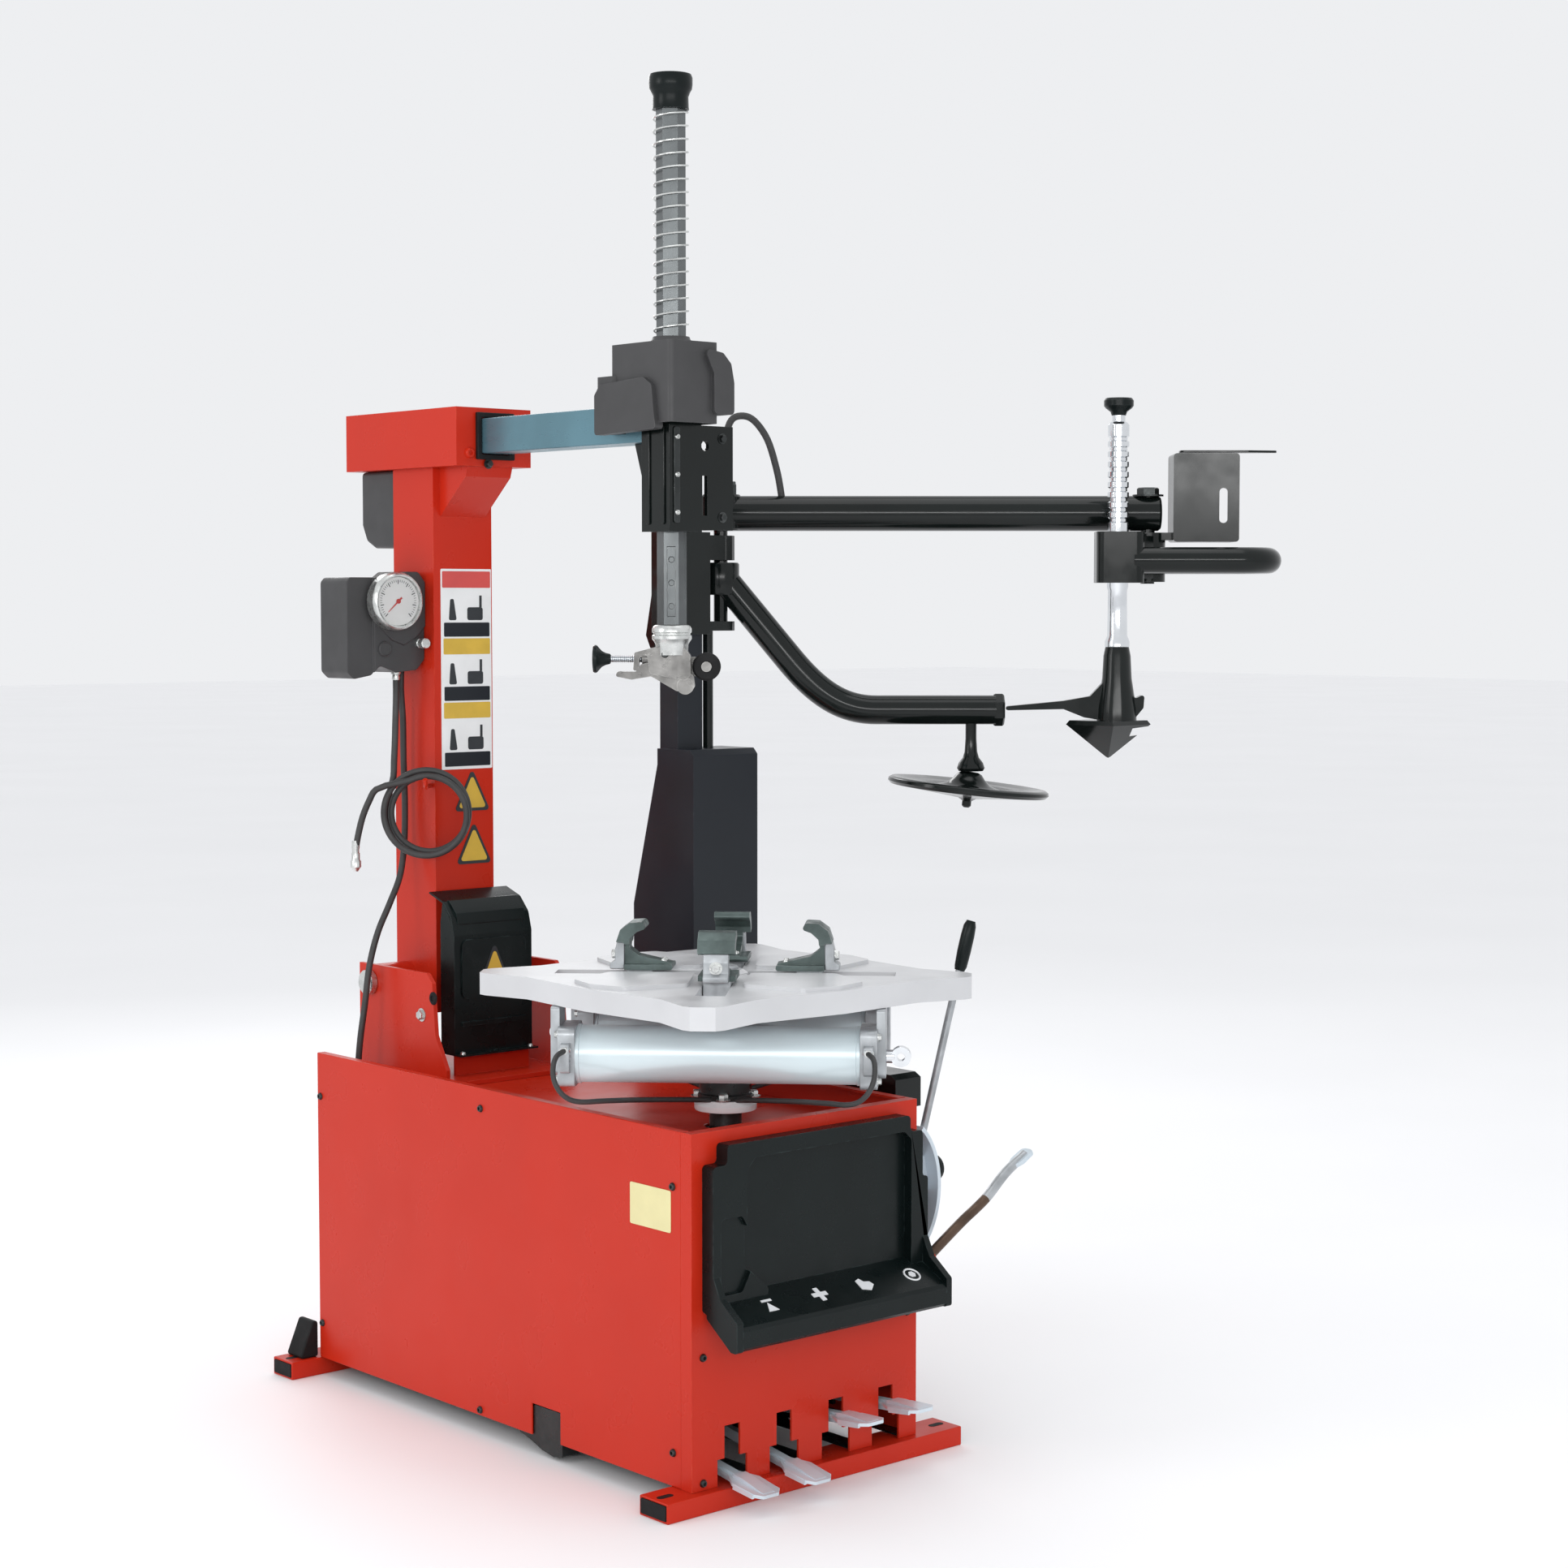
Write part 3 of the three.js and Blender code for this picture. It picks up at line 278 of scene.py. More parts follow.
def piece(name, bm, material, body, replaces=(), place=None, bevel=0.0):
    """A new visible piece that rides on a CAD body, standing for CAD nodes where it replaces any."""
    obj = solid_object(bm, name)
    if place is not None:
        obj.data.transform(place)
    obj.data.materials.append(material)
    obj.data.shade_smooth()
    obj.data.set_sharp_from_angle(angle=math.radians(SHARP_ANGLE))
    if bevel:
        bevelled(obj, bevel)
    if body:
        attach(obj, body)
    if replaces:
        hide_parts(*replaces)
    return obj


def dress(node, material, bevel=2.0, segments=2):
    """A CAD node that stays: cleaned, with its edges rounded, and given its material."""
    obj = NODES[node]
    obj.data.materials.clear()
    obj.data.materials.append(material)
    if "custom_normal" in obj.data.attributes:
        obj.data.attributes.remove(obj.data.attributes["custom_normal"])
    weld = obj.modifiers.new("weld", "WELD")
    weld.merge_threshold = 1e-5
    flat = obj.modifiers.new("flat", "DECIMATE")
    flat.decimate_type, flat.angle_limit = "DISSOLVE", math.radians(FLAT_ANGLE)
    for polygon in obj.data.polygons:
        polygon.use_smooth = True
    bevelled(obj, bevel, segments)


# ---- Materials ----
class Graph:
    """A material's nodes, with short calls for the ones used here."""

    def __init__(self, name):
        self.material = bpy.data.materials.new(name)
        self.material.use_nodes = True
        self.tree = self.material.node_tree
        self.shader = next(n for n in self.tree.nodes if n.type == "BSDF_PRINCIPLED")
        self.here = self.node("ShaderNodeTexCoord").outputs["Object"]

    def node(self, kind, **values):
        made = self.tree.nodes.new(kind)
        for key, value in values.items():
            setattr(made, key, value)
        return made

    def link(self, source, target):
        self.tree.links.new(source, target)

    def noise(self, scale, detail=3.0, stretch=(1, 1, 1)):
        made = self.node("ShaderNodeTexNoise")
        made.inputs["Scale"].default_value = scale
        made.inputs["Detail"].default_value = detail
        place = self.node("ShaderNodeMapping")
        place.inputs["Scale"].default_value = stretch
        self.link(self.here, place.inputs["Vector"])
        self.link(place.outputs["Vector"], made.inputs["Vector"])
        return made.outputs["Fac"]

    def span(self, source, low, high, start=0.35, end=0.65):
        made = self.node("ShaderNodeMapRange")
        for key, value in (("From Min", start), ("From Max", end), ("To Min", low), ("To Max", high)):
            made.inputs[key].default_value = value
        self.link(source, made.inputs["Value"])
        return made.outputs["Result"]

    def mix(self, factor, a, b):
        made = self.node("ShaderNodeMix", data_type="RGBA")
        for key, value in ((0, factor), (6, a), (7, b)):
            if isinstance(value, bpy.types.NodeSocket):
                self.link(value, made.inputs[key])
            else:
                made.inputs[key].default_value = value
        return made.outputs[2]

    def wear_and_highlight_edge(self, radius, amount):
        """1 on convex edges, broken up by noise: rubbed wear, and a painted edge highlight."""
        bevel = self.node("ShaderNodeBevel", samples=4)
        bevel.inputs["Radius"].default_value = radius * MM
        shape = self.node("ShaderNodeNewGeometry")
        dot = self.node("ShaderNodeVectorMath", operation="DOT_PRODUCT")
        self.link(bevel.outputs["Normal"], dot.inputs[0])
        self.link(shape.outputs["Normal"], dot.inputs[1])
        edge = self.span(dot.outputs["Value"], 1, 0, 0.75, 0.97)
        wear_and_highlight_patches = self.span(self.noise(55, 5), 0, amount, 0.45, 0.75)
        both = self.node("ShaderNodeMath", operation="MULTIPLY")
        self.link(edge, both.inputs[0])
        self.link(wear_and_highlight_patches, both.inputs[1])
        return both.outputs["Value"]

    def bump(self, source, strength, distance):
        made = self.node("ShaderNodeBump")
        made.inputs["Strength"].default_value = strength
        made.inputs["Distance"].default_value = distance * MM
        self.link(source, made.inputs["Height"])
        self.link(made.outputs["Normal"], self.shader.inputs["Normal"])


def rgb(r, g, b):
    """A linear colour from 0 to 255 display values."""
    def linear(c):
        c /= 255
        return c / 12.92 if c <= 0.04045 else ((c + 0.055) / 1.055) ** 2.4
    return (linear(r), linear(g), linear(b), 1.0)


def scaled(colour, factor):
    return tuple(min(1.0, c * factor) for c in colour[:3]) + (1.0,)


def surface(name, colour, rough, tone=0.12, metallic=0.0, grain=500.0, bump=0.15, depth=0.2, edge_wear_and_highlight=None,
            patch=7.0, stretch=(1, 1, 1), coat=0.0, specular=0.5, rough_spread=0.06, edge_wear_and_highlight_amount=0.6):
    """Patchy colour, roughness that varies with it, fine relief, and edges of wear and painted highlight."""
    g = Graph(name)
    shade = g.mix(g.span(g.noise(patch, 5), 0, 1), scaled(colour, 1 - tone), scaled(colour, 1 + tone))
    # Lighter convex edges: rubbed wear, and a painted edge highlight.
    if edge_wear_and_highlight:
        shade = g.mix(g.wear_and_highlight_edge(2.5, edge_wear_and_highlight_amount), shade, edge_wear_and_highlight)
    g.link(shade, g.shader.inputs["Base Color"])
    fine = g.noise(grain, 3, stretch)
    g.link(g.span(g.noise(patch * 3, 4, stretch), rough - rough_spread, rough + rough_spread),
           g.shader.inputs["Roughness"])
    g.bump(fine, bump, depth)
    g.shader.inputs["Metallic"].default_value = metallic
    g.shader.inputs["Specular IOR Level"].default_value = specular
    if coat:
        g.shader.inputs["Coat Weight"].default_value = coat
        g.shader.inputs["Coat Roughness"].default_value = 0.12
    return g.material


RED = surface("red_powder_coat", rgb(192, 42, 21), 0.32, tone=0.03, grain=420, bump=0.14, depth=0.09,
              edge_wear_and_highlight=rgb(228, 104, 78), specular=0.22, patch=4)
BLACK = surface("gloss_black_paint", rgb(16, 21, 20), 0.15, tone=0.2, grain=300, bump=0.06, depth=0.1,
                edge_wear_and_highlight=rgb(80, 84, 84), specular=0.3, rough_spread=0.04)
NAVY = surface("slate_paint", rgb(31, 35, 41), 0.34, tone=0.08, grain=380, bump=0.08, depth=0.06,
               edge_wear_and_highlight=rgb(92, 98, 108), specular=0.26, patch=3, edge_wear_and_highlight_amount=0.4)
# The light edge colour of this plastic is a painted edge highlight.
CHARCOAL = surface("charcoal_moulded_plastic", rgb(66, 66, 67), 0.46, tone=0.08, grain=900, bump=0.25,
                   depth=0.1, patch=11, specular=0.3, edge_wear_and_highlight=rgb(118, 118, 120), edge_wear_and_highlight_amount=0.8)
# The light edge colour of this plastic is a painted edge highlight.
TRAY_PLASTIC = surface("black_moulded_plastic", rgb(13, 21, 21), 0.3, tone=0.15, grain=800, bump=0.2,
                       depth=0.08, patch=9, specular=0.2, edge_wear_and_highlight=rgb(74, 90, 90), edge_wear_and_highlight_amount=0.8)
RUBBER = surface("black_rubber", rgb(23, 23, 24), 0.7, tone=0.2, grain=260, bump=0.4, depth=0.3, patch=16,
                 specular=0.25)
HOSE_RUBBER = surface("hose_rubber", rgb(52, 52, 52), 0.55, tone=0.15, grain=320, bump=0.3, depth=0.15,
                      patch=20)
CHROME = surface("bright_chrome", rgb(222, 225, 228), 0.14, tone=0.05, metallic=1, grain=240, bump=0.04,
                 depth=0.05, rough_spread=0.05, patch=18)
# The near-white edge colour of the casting is a painted highlight.
CAST = surface("cast_steel", rgb(118, 117, 115), 0.36, tone=0.35, metallic=0.85, grain=190, bump=0.35,
               depth=0.3, patch=24, rough_spread=0.1, edge_wear_and_highlight=rgb(226, 224, 220))
PEDAL_STEEL = surface("pressed_pedal_steel", rgb(208, 220, 228), 0.34, tone=0.08, metallic=0.3, grain=260,
                      bump=0.1, depth=0.1, patch=10, rough_spread=0.06)
PLATE = surface("ground_table_plate", rgb(208, 209, 211), 0.34, tone=0.05, metallic=0.25, grain=260,
                bump=0.06, depth=0.05, patch=5, rough_spread=0.06)
CYLINDER = surface("anodised_cylinder", rgb(214, 228, 232), 0.3, tone=0.04, metallic=0.25, grain=300,
                   bump=0.05, depth=0.04, patch=3, rough_spread=0.01)
ALLOY = surface("cylinder_cap_alloy", rgb(170, 174, 177), 0.4, tone=0.16, metallic=0.6, grain=220, bump=0.3,
                depth=0.2, patch=30, rough_spread=0.1)
JAW = surface("blued_jaw_steel", rgb(84, 96, 94), 0.42, tone=0.22, metallic=0.6, grain=240, bump=0.4,
              depth=0.3, patch=26, edge_wear_and_highlight=rgb(170, 178, 176), rough_spread=0.12)
ARM_STEEL = surface("blue_grey_arm", rgb(92, 130, 143), 0.32, tone=0.1, metallic=0.4, grain=200, bump=0.1,
                    depth=0.06, patch=7, stretch=(4, 1, 4), edge_wear_and_highlight=rgb(176, 192, 198))
DARK_STEEL = surface("dark_steel", rgb(60, 63, 63), 0.36, tone=0.2, metallic=0.8, grain=240, bump=0.3,
                     depth=0.2, patch=18, rough_spread=0.12, edge_wear_and_highlight=rgb(150, 152, 152))
SHAFT = surface("ground_hex_steel", rgb(104, 108, 109), 0.28, tone=0.18, metallic=0.7, grain=260, bump=0.12,
                depth=0.05, patch=12, stretch=(1, 1, 0.1), rough_spread=0.06, edge_wear_and_highlight=rgb(190, 192, 192))
ZINC = surface("zinc_plate", rgb(206, 208, 206), 0.3, tone=0.12, metallic=0.9, grain=240, bump=0.08,
               depth=0.08, patch=40, rough_spread=0.1)
BRONZED = surface("browned_lever_steel", rgb(92, 74, 62), 0.45, tone=0.25, metallic=0.7, grain=240, bump=0.4,
                  depth=0.25, patch=22, edge_wear_and_highlight=rgb(168, 158, 148), rough_spread=0.12)
WHITE_NYLON = surface("white_nylon", rgb(232, 234, 236), 0.4, tone=0.04, grain=400, bump=0.1, depth=0.08)
DIAL = surface("gauge_dial", rgb(240, 240, 238), 0.45, tone=0.02, grain=500, bump=0.04, depth=0.03)
INK = surface("printed_ink", rgb(40, 44, 48), 0.5, tone=0.1, grain=600, bump=0.05, depth=0.03, patch=40)
YELLOW = surface("printed_yellow", rgb(208, 172, 62), 0.42, tone=0.06, grain=500, bump=0.06, depth=0.03,
                 patch=30)
LABEL = surface("label_film", rgb(232, 234, 234), 0.4, tone=0.03, grain=500, bump=0.05, depth=0.03, patch=20)
CREAM = surface("cream_plate", rgb(222, 214, 160), 0.4, tone=0.04, grain=480, bump=0.06, depth=0.03, patch=24)
HEADER = surface("label_red_band", rgb(206, 78, 74), 0.4, tone=0.05, grain=500, bump=0.05, depth=0.03,
                 patch=20)
NEEDLE = surface("needle_red", rgb(200, 40, 30), 0.4, tone=0.05, grain=500, bump=0.03, depth=0.02, patch=40)


def clear_glass():
    g = Graph("gauge_glass")
    g.link(g.span(g.noise(30, 2), 0.02, 0.06), g.shader.inputs["Roughness"])
    g.shader.inputs["Base Color"].default_value = (1, 1, 1, 1)
    g.shader.inputs["Transmission Weight"].default_value = 1.0
    g.shader.inputs["IOR"].default_value = 1.3
    return g.material


GLASS = clear_glass()


# ---- Camera ----
CAMERA_AT = (-2.7866, -3.1141, 1.3132)
CAMERA_DOWN, CAMERA_TURN = 3.605, -41.335  # degrees
SENSOR, LENS = 36, 65.1


def make_camera():
    data = bpy.data.cameras.new("camera")
    data.sensor_width, data.lens = SENSOR, LENS
    camera = bpy.data.objects.new("camera", data)
    camera.location = CAMERA_AT
    camera.rotation_euler = (math.radians(90 - CAMERA_DOWN), 0, math.radians(CAMERA_TURN))
    bpy.context.scene.collection.objects.link(camera)
    bpy.context.scene.camera = camera


# ---- Hoses ----
HOSE = 5.5  # radius
COIL = Vector((-80, 874, 963))
COIL_ACROSS = Vector((0.751, -0.660, 0))
COIL_AXIS = Vector((0.660, 0.751, 0))
COIL_TURNS, COIL_RADIUS, COIL_PITCH = 3, 68, 11.6
LEAD = [(-104, 932, 1189), (-104, 932, 1160), (-106, 931, 1125), (-110, 928, 1080), (-114, 925, 1048),
        (-117, 922.5, 1024)]
TAIL = [(-156.8, 914.9, 1004), (-164.6, 924.4, 985), (-171.6, 934.5, 957), (-176.5, 941.4, 925),
        (-178.6, 944.7, 906)]
SUPPLY = [(-84, 946, 1202.5), (-84, 947, 1170), (-80, 948, 1120), (-78, 950, 1050), (-76, 950, 970),
          (-80, 948, 900), (-92, 944, 850), (-116, 940, 805), (-142, 936, 760), (-160, 935, 705),
          (-168, 938, 640), (-174, 944, 580), (-178, 948, 519)]
CHUCK = (-179, 945.2, 905)


def coil_point(degrees, radius, depth):
    a = math.radians(degrees)
    across, up = COIL_ACROSS * radius * math.cos(a), Vector((0, 0, radius * math.sin(a)))
    return COIL + across + up + COIL_AXIS * depth


def coil_points():
    """Turns that lie beside each other, from the lead at the back to the tail at the front."""
    start, steps = 160, 26 * COIL_TURNS
    depth = 13
    points = []
    for i in range(steps + 1):
        turn = i / steps * (COIL_TURNS - 0.12)
        radius = COIL_RADIUS + HOSE * math.cos(math.pi * turn)
        points.append(coil_point(start + 360 * turn, radius, depth - COIL_PITCH * turn))
    return points


def hose_curve(name, points):
    data = bpy.data.curves.new(name, "CURVE")
    data.dimensions, data.bevel_depth, data.bevel_resolution = "3D", HOSE * MM, 4
    data.use_fill_caps = True
    spline = data.splines.new("POLY")
    spline.points.add(len(points) - 1)
    for target, p in zip(spline.points, points):
        target.co = (*(p * MM), 1)
    obj = bpy.data.objects.new(name, data)
    bpy.context.scene.collection.objects.link(obj)
    data.materials.append(HOSE_RUBBER)
    return obj


def inflation_hose():
    route = [Vector(p) for p in LEAD] + coil_points() + [Vector(p) for p in TAIL]
    points = curve_points(route, 3)
    hose = hose_curve("inflation_hose", points)
    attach(hose, "column")
    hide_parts("hose_lead", "hose_coil", "hose_tail")
    barb = lathe([(0, -3), (HOSE + 1, -3), (HOSE + 1.5, 1), (HOSE + 0.5, 6), (8.5, 7), (8.5, 13), (0, 13)],
                 24)
    piece("hose_fitting", moved(barb, shift(-104, 932, 1190)), ZINC, "column")
    chuck_profile = [(0, -40), (4.2, -40), (5, -38), (9, -33), (9, -23), (7, -20), (7, -9), (6, -8), (6, -3),
                     (HOSE + 1.2, 0), (HOSE + 0.8, 12), (0, 12)]
    chuck = piece("tyre_chuck_body", moved(lathe(chuck_profile, 32), shift(*CHUCK)), ZINC, "column",
                  ["tyre_chuck"])


def supply_hose():
    points = curve_points(SUPPLY, 6)
    hose = piece("supply_line", sweep(points, HOSE, 16), HOSE_RUBBER, None, ["supply_hose"])
    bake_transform(hose)
    grommet = lathe([(0, 515), (13, 515), (13, 519), (9, 524), (6.2, 525), (6.2, 518), (0, 518)], 28)
    piece("supply_grommet", moved(grommet, shift(-178, 948, 0)), RUBBER, "cabinet")


# ---- Light and floor ----
FLOOR = (-40000, 40000)


def make_floor():
    floor = solid_object(block(FLOOR, FLOOR, (-20, 0)), "floor")
    pale = surface("pale_floor", rgb(250, 250, 251), 0.6, tone=0.01, grain=60, bump=0.03, depth=0.1,
                   patch=0.8, specular=0.2)
    floor.data.materials.append(pale)


def area_light(name, location, toward, energy, width, height):
    data = bpy.data.lights.new(name, "AREA")
    data.shape, data.size, data.size_y, data.energy = "RECTANGLE", width, height, energy
    light = bpy.data.objects.new(name, data)
    light.location = location
    light.rotation_euler = (Vector(toward) - Vector(location)).to_track_quat("-Z", "Y").to_euler()
    bpy.context.scene.collection.objects.link(light)


def make_light():
    world = bpy.data.worlds.new("studio")
    world.use_nodes = True
    background = world.node_tree.nodes["Background"]
    background.inputs["Color"].default_value = (0.97, 0.98, 1.0, 1)
    background.inputs["Strength"].default_value = 0.88
    bpy.context.scene.world = world
    bpy.context.scene.view_settings.view_transform = "Standard"
    middle = (0, 0.4, 0.9)
    area_light("line", (-3.2, -3.6, 1.9), middle, 70, 5.0, 0.5)
    area_light("side", (-3.8, 1.2, 2.3), (0, 0.7, 1.3), 25, 1.3, 1.3)
    area_light("top", (0.3, 0.2, 4.4), middle, 26, 2.6, 2.6)
    area_light("back", (1.6, 4.2, 2.8), middle, 30, 2.4, 1.2)


# ---- Fasteners ----
FACING = {
    "+x": spin(90, "Y"), "-x": spin(-90, "Y"), "-y": spin(90, "X"), "+z": spin(0, "X"), "-z": spin(180, "X"),
}


def at(x, y, z, facing):
    return shift(x, y, z) @ FACING[facing]


def screw_head(r, h):
    return lathe([(0, 0), (r, 0), (r, h * 0.35), (r * 0.75, h), (r * 0.45, h), (r * 0.4, h * 0.4),
                  (0, h * 0.4)], 20)


def hex_head(r, h):
    washer = lathe([(0, 0), (r * 1.4, 0), (r * 1.4, h * 0.2), (0, h * 0.2)], 24)
    return joined(washer, lathe([(0, h * 0.2), (r, h * 0.2), (r, h * 0.85), (r * 0.86, h), (0, h)], 6))


def fasteners(name, make, size, spots, facing, material, body, place=None):
    parts = [moved(make(*size), at(*spot, facing)) for spot in spots]
    piece(name, joined(*parts), material, body, place=place)


# ---- Cabinet ----
TRAY_FRONT = [(-205, 290), (-205, 508), (-178, 508), (-178, 537), (188, 537), (188, 512), (214, 512),
              (214, 440), (225, 440), (225, 290)]
TRAY_POCKET = [(-140, 352), (-140, 496), (-124, 513), (176, 513), (190, 500), (190, 280), (-100, 280),
               (-100, 318)]
TRAY_RECESS = [(-190, 318), (-190, 430), (-150, 430), (-134, 405), (-134, 345), (-150, 318)]
APRON = [(-0.3, 296), (-0.3, 318), (-8, 316), (-74, 282), (-78, 276), (-78, 252), (-73, 247), (-66, 250),
         (-62, 262), (-20, 284)]
APRON_SLOPE = 27.3
ICON_Y, ICON_Z, ICON_RAISE = -45, 297, 1.2
PANEL = 225  # half the cabinet's width


def pedal_tray():
    face = carve(prism("y", rounded(TRAY_FRONT, 7), -25, -0.3),
                 prism("y", rounded(TRAY_POCKET, 9), -30, -9), prism("y", rounded(TRAY_RECESS, 8), -30, -18))
    cheek = rounded([(-10, 350), (-25, 348), (-40, 318), (-78, 290), (-78, 246), (-64, 246), (-10, 285)], 5)
    whole = unite(face, prism("x", APRON, -205, 225), prism("x", cheek, -205, -193),
                  prism("x", cheek, 214, 225))
    piece("pedal_tray_body", whole, TRAY_PLASTIC, "cabinet", ["pedal_tray"], bevel=2.6)
    icons = {
        -115: joined(prism("z", [(-10, -13), (9, -13), (-1, 5)], 0, ICON_RAISE),
                     prism("z", rect((-9, 10), (8, 12)), 0, ICON_RAISE)),
        -17: joined(prism("z", rect((-4, 4), (-14, 14)), 0, ICON_RAISE),
                    prism("z", rect((-14, 14), (-4, 4)), 0, 1.1)),
        75: prism("z", [(-13, -8), (2, -14), (14, -4), (11, 4), (1, 6), (-3, 14), (-12, 11)], 0, ICON_RAISE),
        172: joined(sweep([(*p, 0) for p in ring((0, 0), 13, 32)], 1.6, 8, closed=True),
                    prism("z", ring((0, 0), 6.5, 6), 0, 1.4)),
    }
    for i, (x, icon) in enumerate(icons.items()):
        place = shift(x, ICON_Y, ICON_Z) @ spin(APRON_SLOPE, "X")
        piece(f"tray_icon_{i + 1}", icon, WHITE_NYLON, "cabinet", place=place)


PEDALS = ((-148, 8.3), (-47, 8.3), (57, -4.2), (160, -4.2))


def pedal(number, x, degrees):
    pad = [(-26, -252), (-24, -298), (-15, -310), (15, -310), (24, -298), (26, -252), (11, -224), (8, -150),
           (-8, -150), (-11, -224)]
    ridge = prism("x", [(-232, 3), (-238, 9), (-256, 9), (-304, 4.5), (-304, 3)], -11, 11)
    lip = [(-254, -5), (-254, 3), (-298, 3), (-298, -3)]
    lips = [prism("x", lip, *span) for span in ((-26, -22), (22, 26))]
    stem = prism("x", rounded([(14, -9), (14, 7), (-236, 7), (-262, 2), (-236, -9)], 3), -6, 6)
    whole = unite(prism("z", rounded(pad, 5), -1, 4), ridge, *lips, stem, bar("x", (0, 0), 14, -9, 9))
    body = f"pedal_{number}"
    place = shift(x, 220, 75) @ spin(degrees, "X")
    piece(f"{body}_lever", whole, PEDAL_STEEL, body, [body], place=place, bevel=1.4)


def make_cabinet():
    for node, bevel in (("front_panel", 1.6), ("left_side_panel", 1.6), ("right_side_panel", 1.6),
                        ("top_plate", 1.6), ("front_foot", 2.5), ("rear_foot", 2.5)):
        dress(node, RED, bevel)
    dress("side_rubber_pad", RUBBER, 3)
    for node in ("drive_unit", "pedal_frame", "breaker_cylinder"):
        dress(node, DARK_STEEL, 2)
    pedal_tray()
    for i, (x, degrees) in enumerate(PEDALS):
        pedal(i + 1, x, degrees)
    left = [(-PANEL, y, z) for y, z in ((990, 481), (521, 523), (42, 473), (42, 81), (527, 40), (990, 91))]
    fasteners("left_panel_screws", screw_head, (6, 4), left, "-x", DARK_STEEL, "cabinet")
    fasteners("right_panel_screws", screw_head, (6, 4), [(PANEL, y, z) for y, z in ((990, 481), (990, 91))],
              "+x", DARK_STEEL, "cabinet")
    fasteners("front_panel_screws", screw_head, (6, 4), [(-204, 0, 226), (-204, 0, 41), (205, 0, 226)], "-y",
              DARK_STEEL, "cabinet")
    plate = prism("x", rounded(rect((46, 141), (404, 466)), 3), -PANEL - 1.2, -PANEL)
    piece("cream_plate", plate, CREAM, "cabinet", bevel=0.3)
    channel = [(317, 78), (317, 10), (340, 5), (370, 10), (400, 20), (450, 31), (390, 34), (390, 78)]
    piece("lifting_channel", prism("x", rounded(channel, 4), -221, -190), DARK_STEEL, "cabinet", bevel=2)
    gusset = prism("y", rounded([(-262, 30), (-225.5, 30), (-225.5, 92), (-236, 92)], 5), 1004, 1050)
    piece("rear_foot_pad", gusset, RUBBER, "cabinet", bevel=3)
    # A dark sheet across the cabinet's floor, open under the pedals: painted shade that keeps the inside
    # dark.
    openings = [block((x - 34, x + 34), (0, 190), (20, 40)) for x, _ in PEDALS]
    piece("shade_pan_inside_cabinet", carve(block((-219, 219), (9, 990), (31, 33)), *openings), TRAY_PLASTIC, "cabinet",
          bevel=0.6)
    plugs = [prism("x", rounded(rect((y0 + 3.6, y1 - 3.6), (3.6, 26.4)), 3), *sorted((x, x + s * 9)))
             for x, s, y0, y1 in ((-284.5, 1, -16, 49), (310.5, -1, -16, 49), (-284.5, 1, 996, 1056),
                                  (284.5, -1, 996, 1056))]
    piece("foot_plugs", joined(*plugs), RUBBER, "cabinet", bevel=1.2)
    slots = [prism("z", rounded(rect((x - 14, x + 14), (y - 6, y + 6)), 5.9), 29.6, 30.4)
             for x, y in ((-262, 16), (284, 16), (-262, 1026), (262, 1026))]
    piece("foot_slots", joined(*slots), RUBBER, "cabinet")


# ---- Column ----
COLUMN_FRONT = 882


def label(name, x, z, material, depth):
    piece(name, prism("y", rounded(rect(x, z), 2), COLUMN_FRONT - depth, COLUMN_FRONT), material, "column")


def triangle(name, centre, width, height, front, body):
    """A plain yellow triangle with a dark border."""
    x, z = centre
    for part, size, depth, material in (("edge", 1.0, 0.8, INK), ("field", 0.78, 1.2, YELLOW)):
        outline = [(x - width / 2 * size, z - height / 3 * size),
                   (x + width / 2 * size, z - height / 3 * size), (x, z + height * 2 / 3 * size)]
        piece(f"{name}_{part}", prism("y", rounded(outline, 5 * size), front - depth, front), material, body)


def label_panels():
    label("label_film", (-46, 58), (1034, 1375), LABEL, 0.5)
    label("label_head", (-43, 56), (1343, 1371), HEADER, 0.9)
    for i, (low, high) in enumerate(((1258, 1339), (1149, 1228), (1037, 1119))):
        label(f"label_panel_{i + 1}", (-41, 55), (low, high), LABEL, 0.8)
        label(f"label_strip_{i + 1}", (-40, 54), (low + 2, low + 26), NAVY, 1.1)
        figure = [
            rounded(rect((8, 40), (low + 30, low + 52)), 4),
            rounded([(-30, low + 30), (-14, low + 30), (-20, low + 66), (-27, low + 66)], 3),
            rect((33, 38), (low + 52, low + 72)),
        ]
        figure = joined(*[prism("y", outline, COLUMN_FRONT - 1.2, COLUMN_FRONT - 0.6) for outline in figure])
        piece(f"label_figure_{i + 1}", figure, INK, "column")
    for i, (low, high) in enumerate(((1230, 1257), (1121, 1148))):
        label(f"label_band_{i + 1}", (-41, 55), (low, high), YELLOW, 0.9)
    triangle("upper_triangle", (16, 986), 74, 73, COLUMN_FRONT, "column")
    triangle("lower_triangle", (19, 895), 74, 73, COLUMN_FRONT, "column")


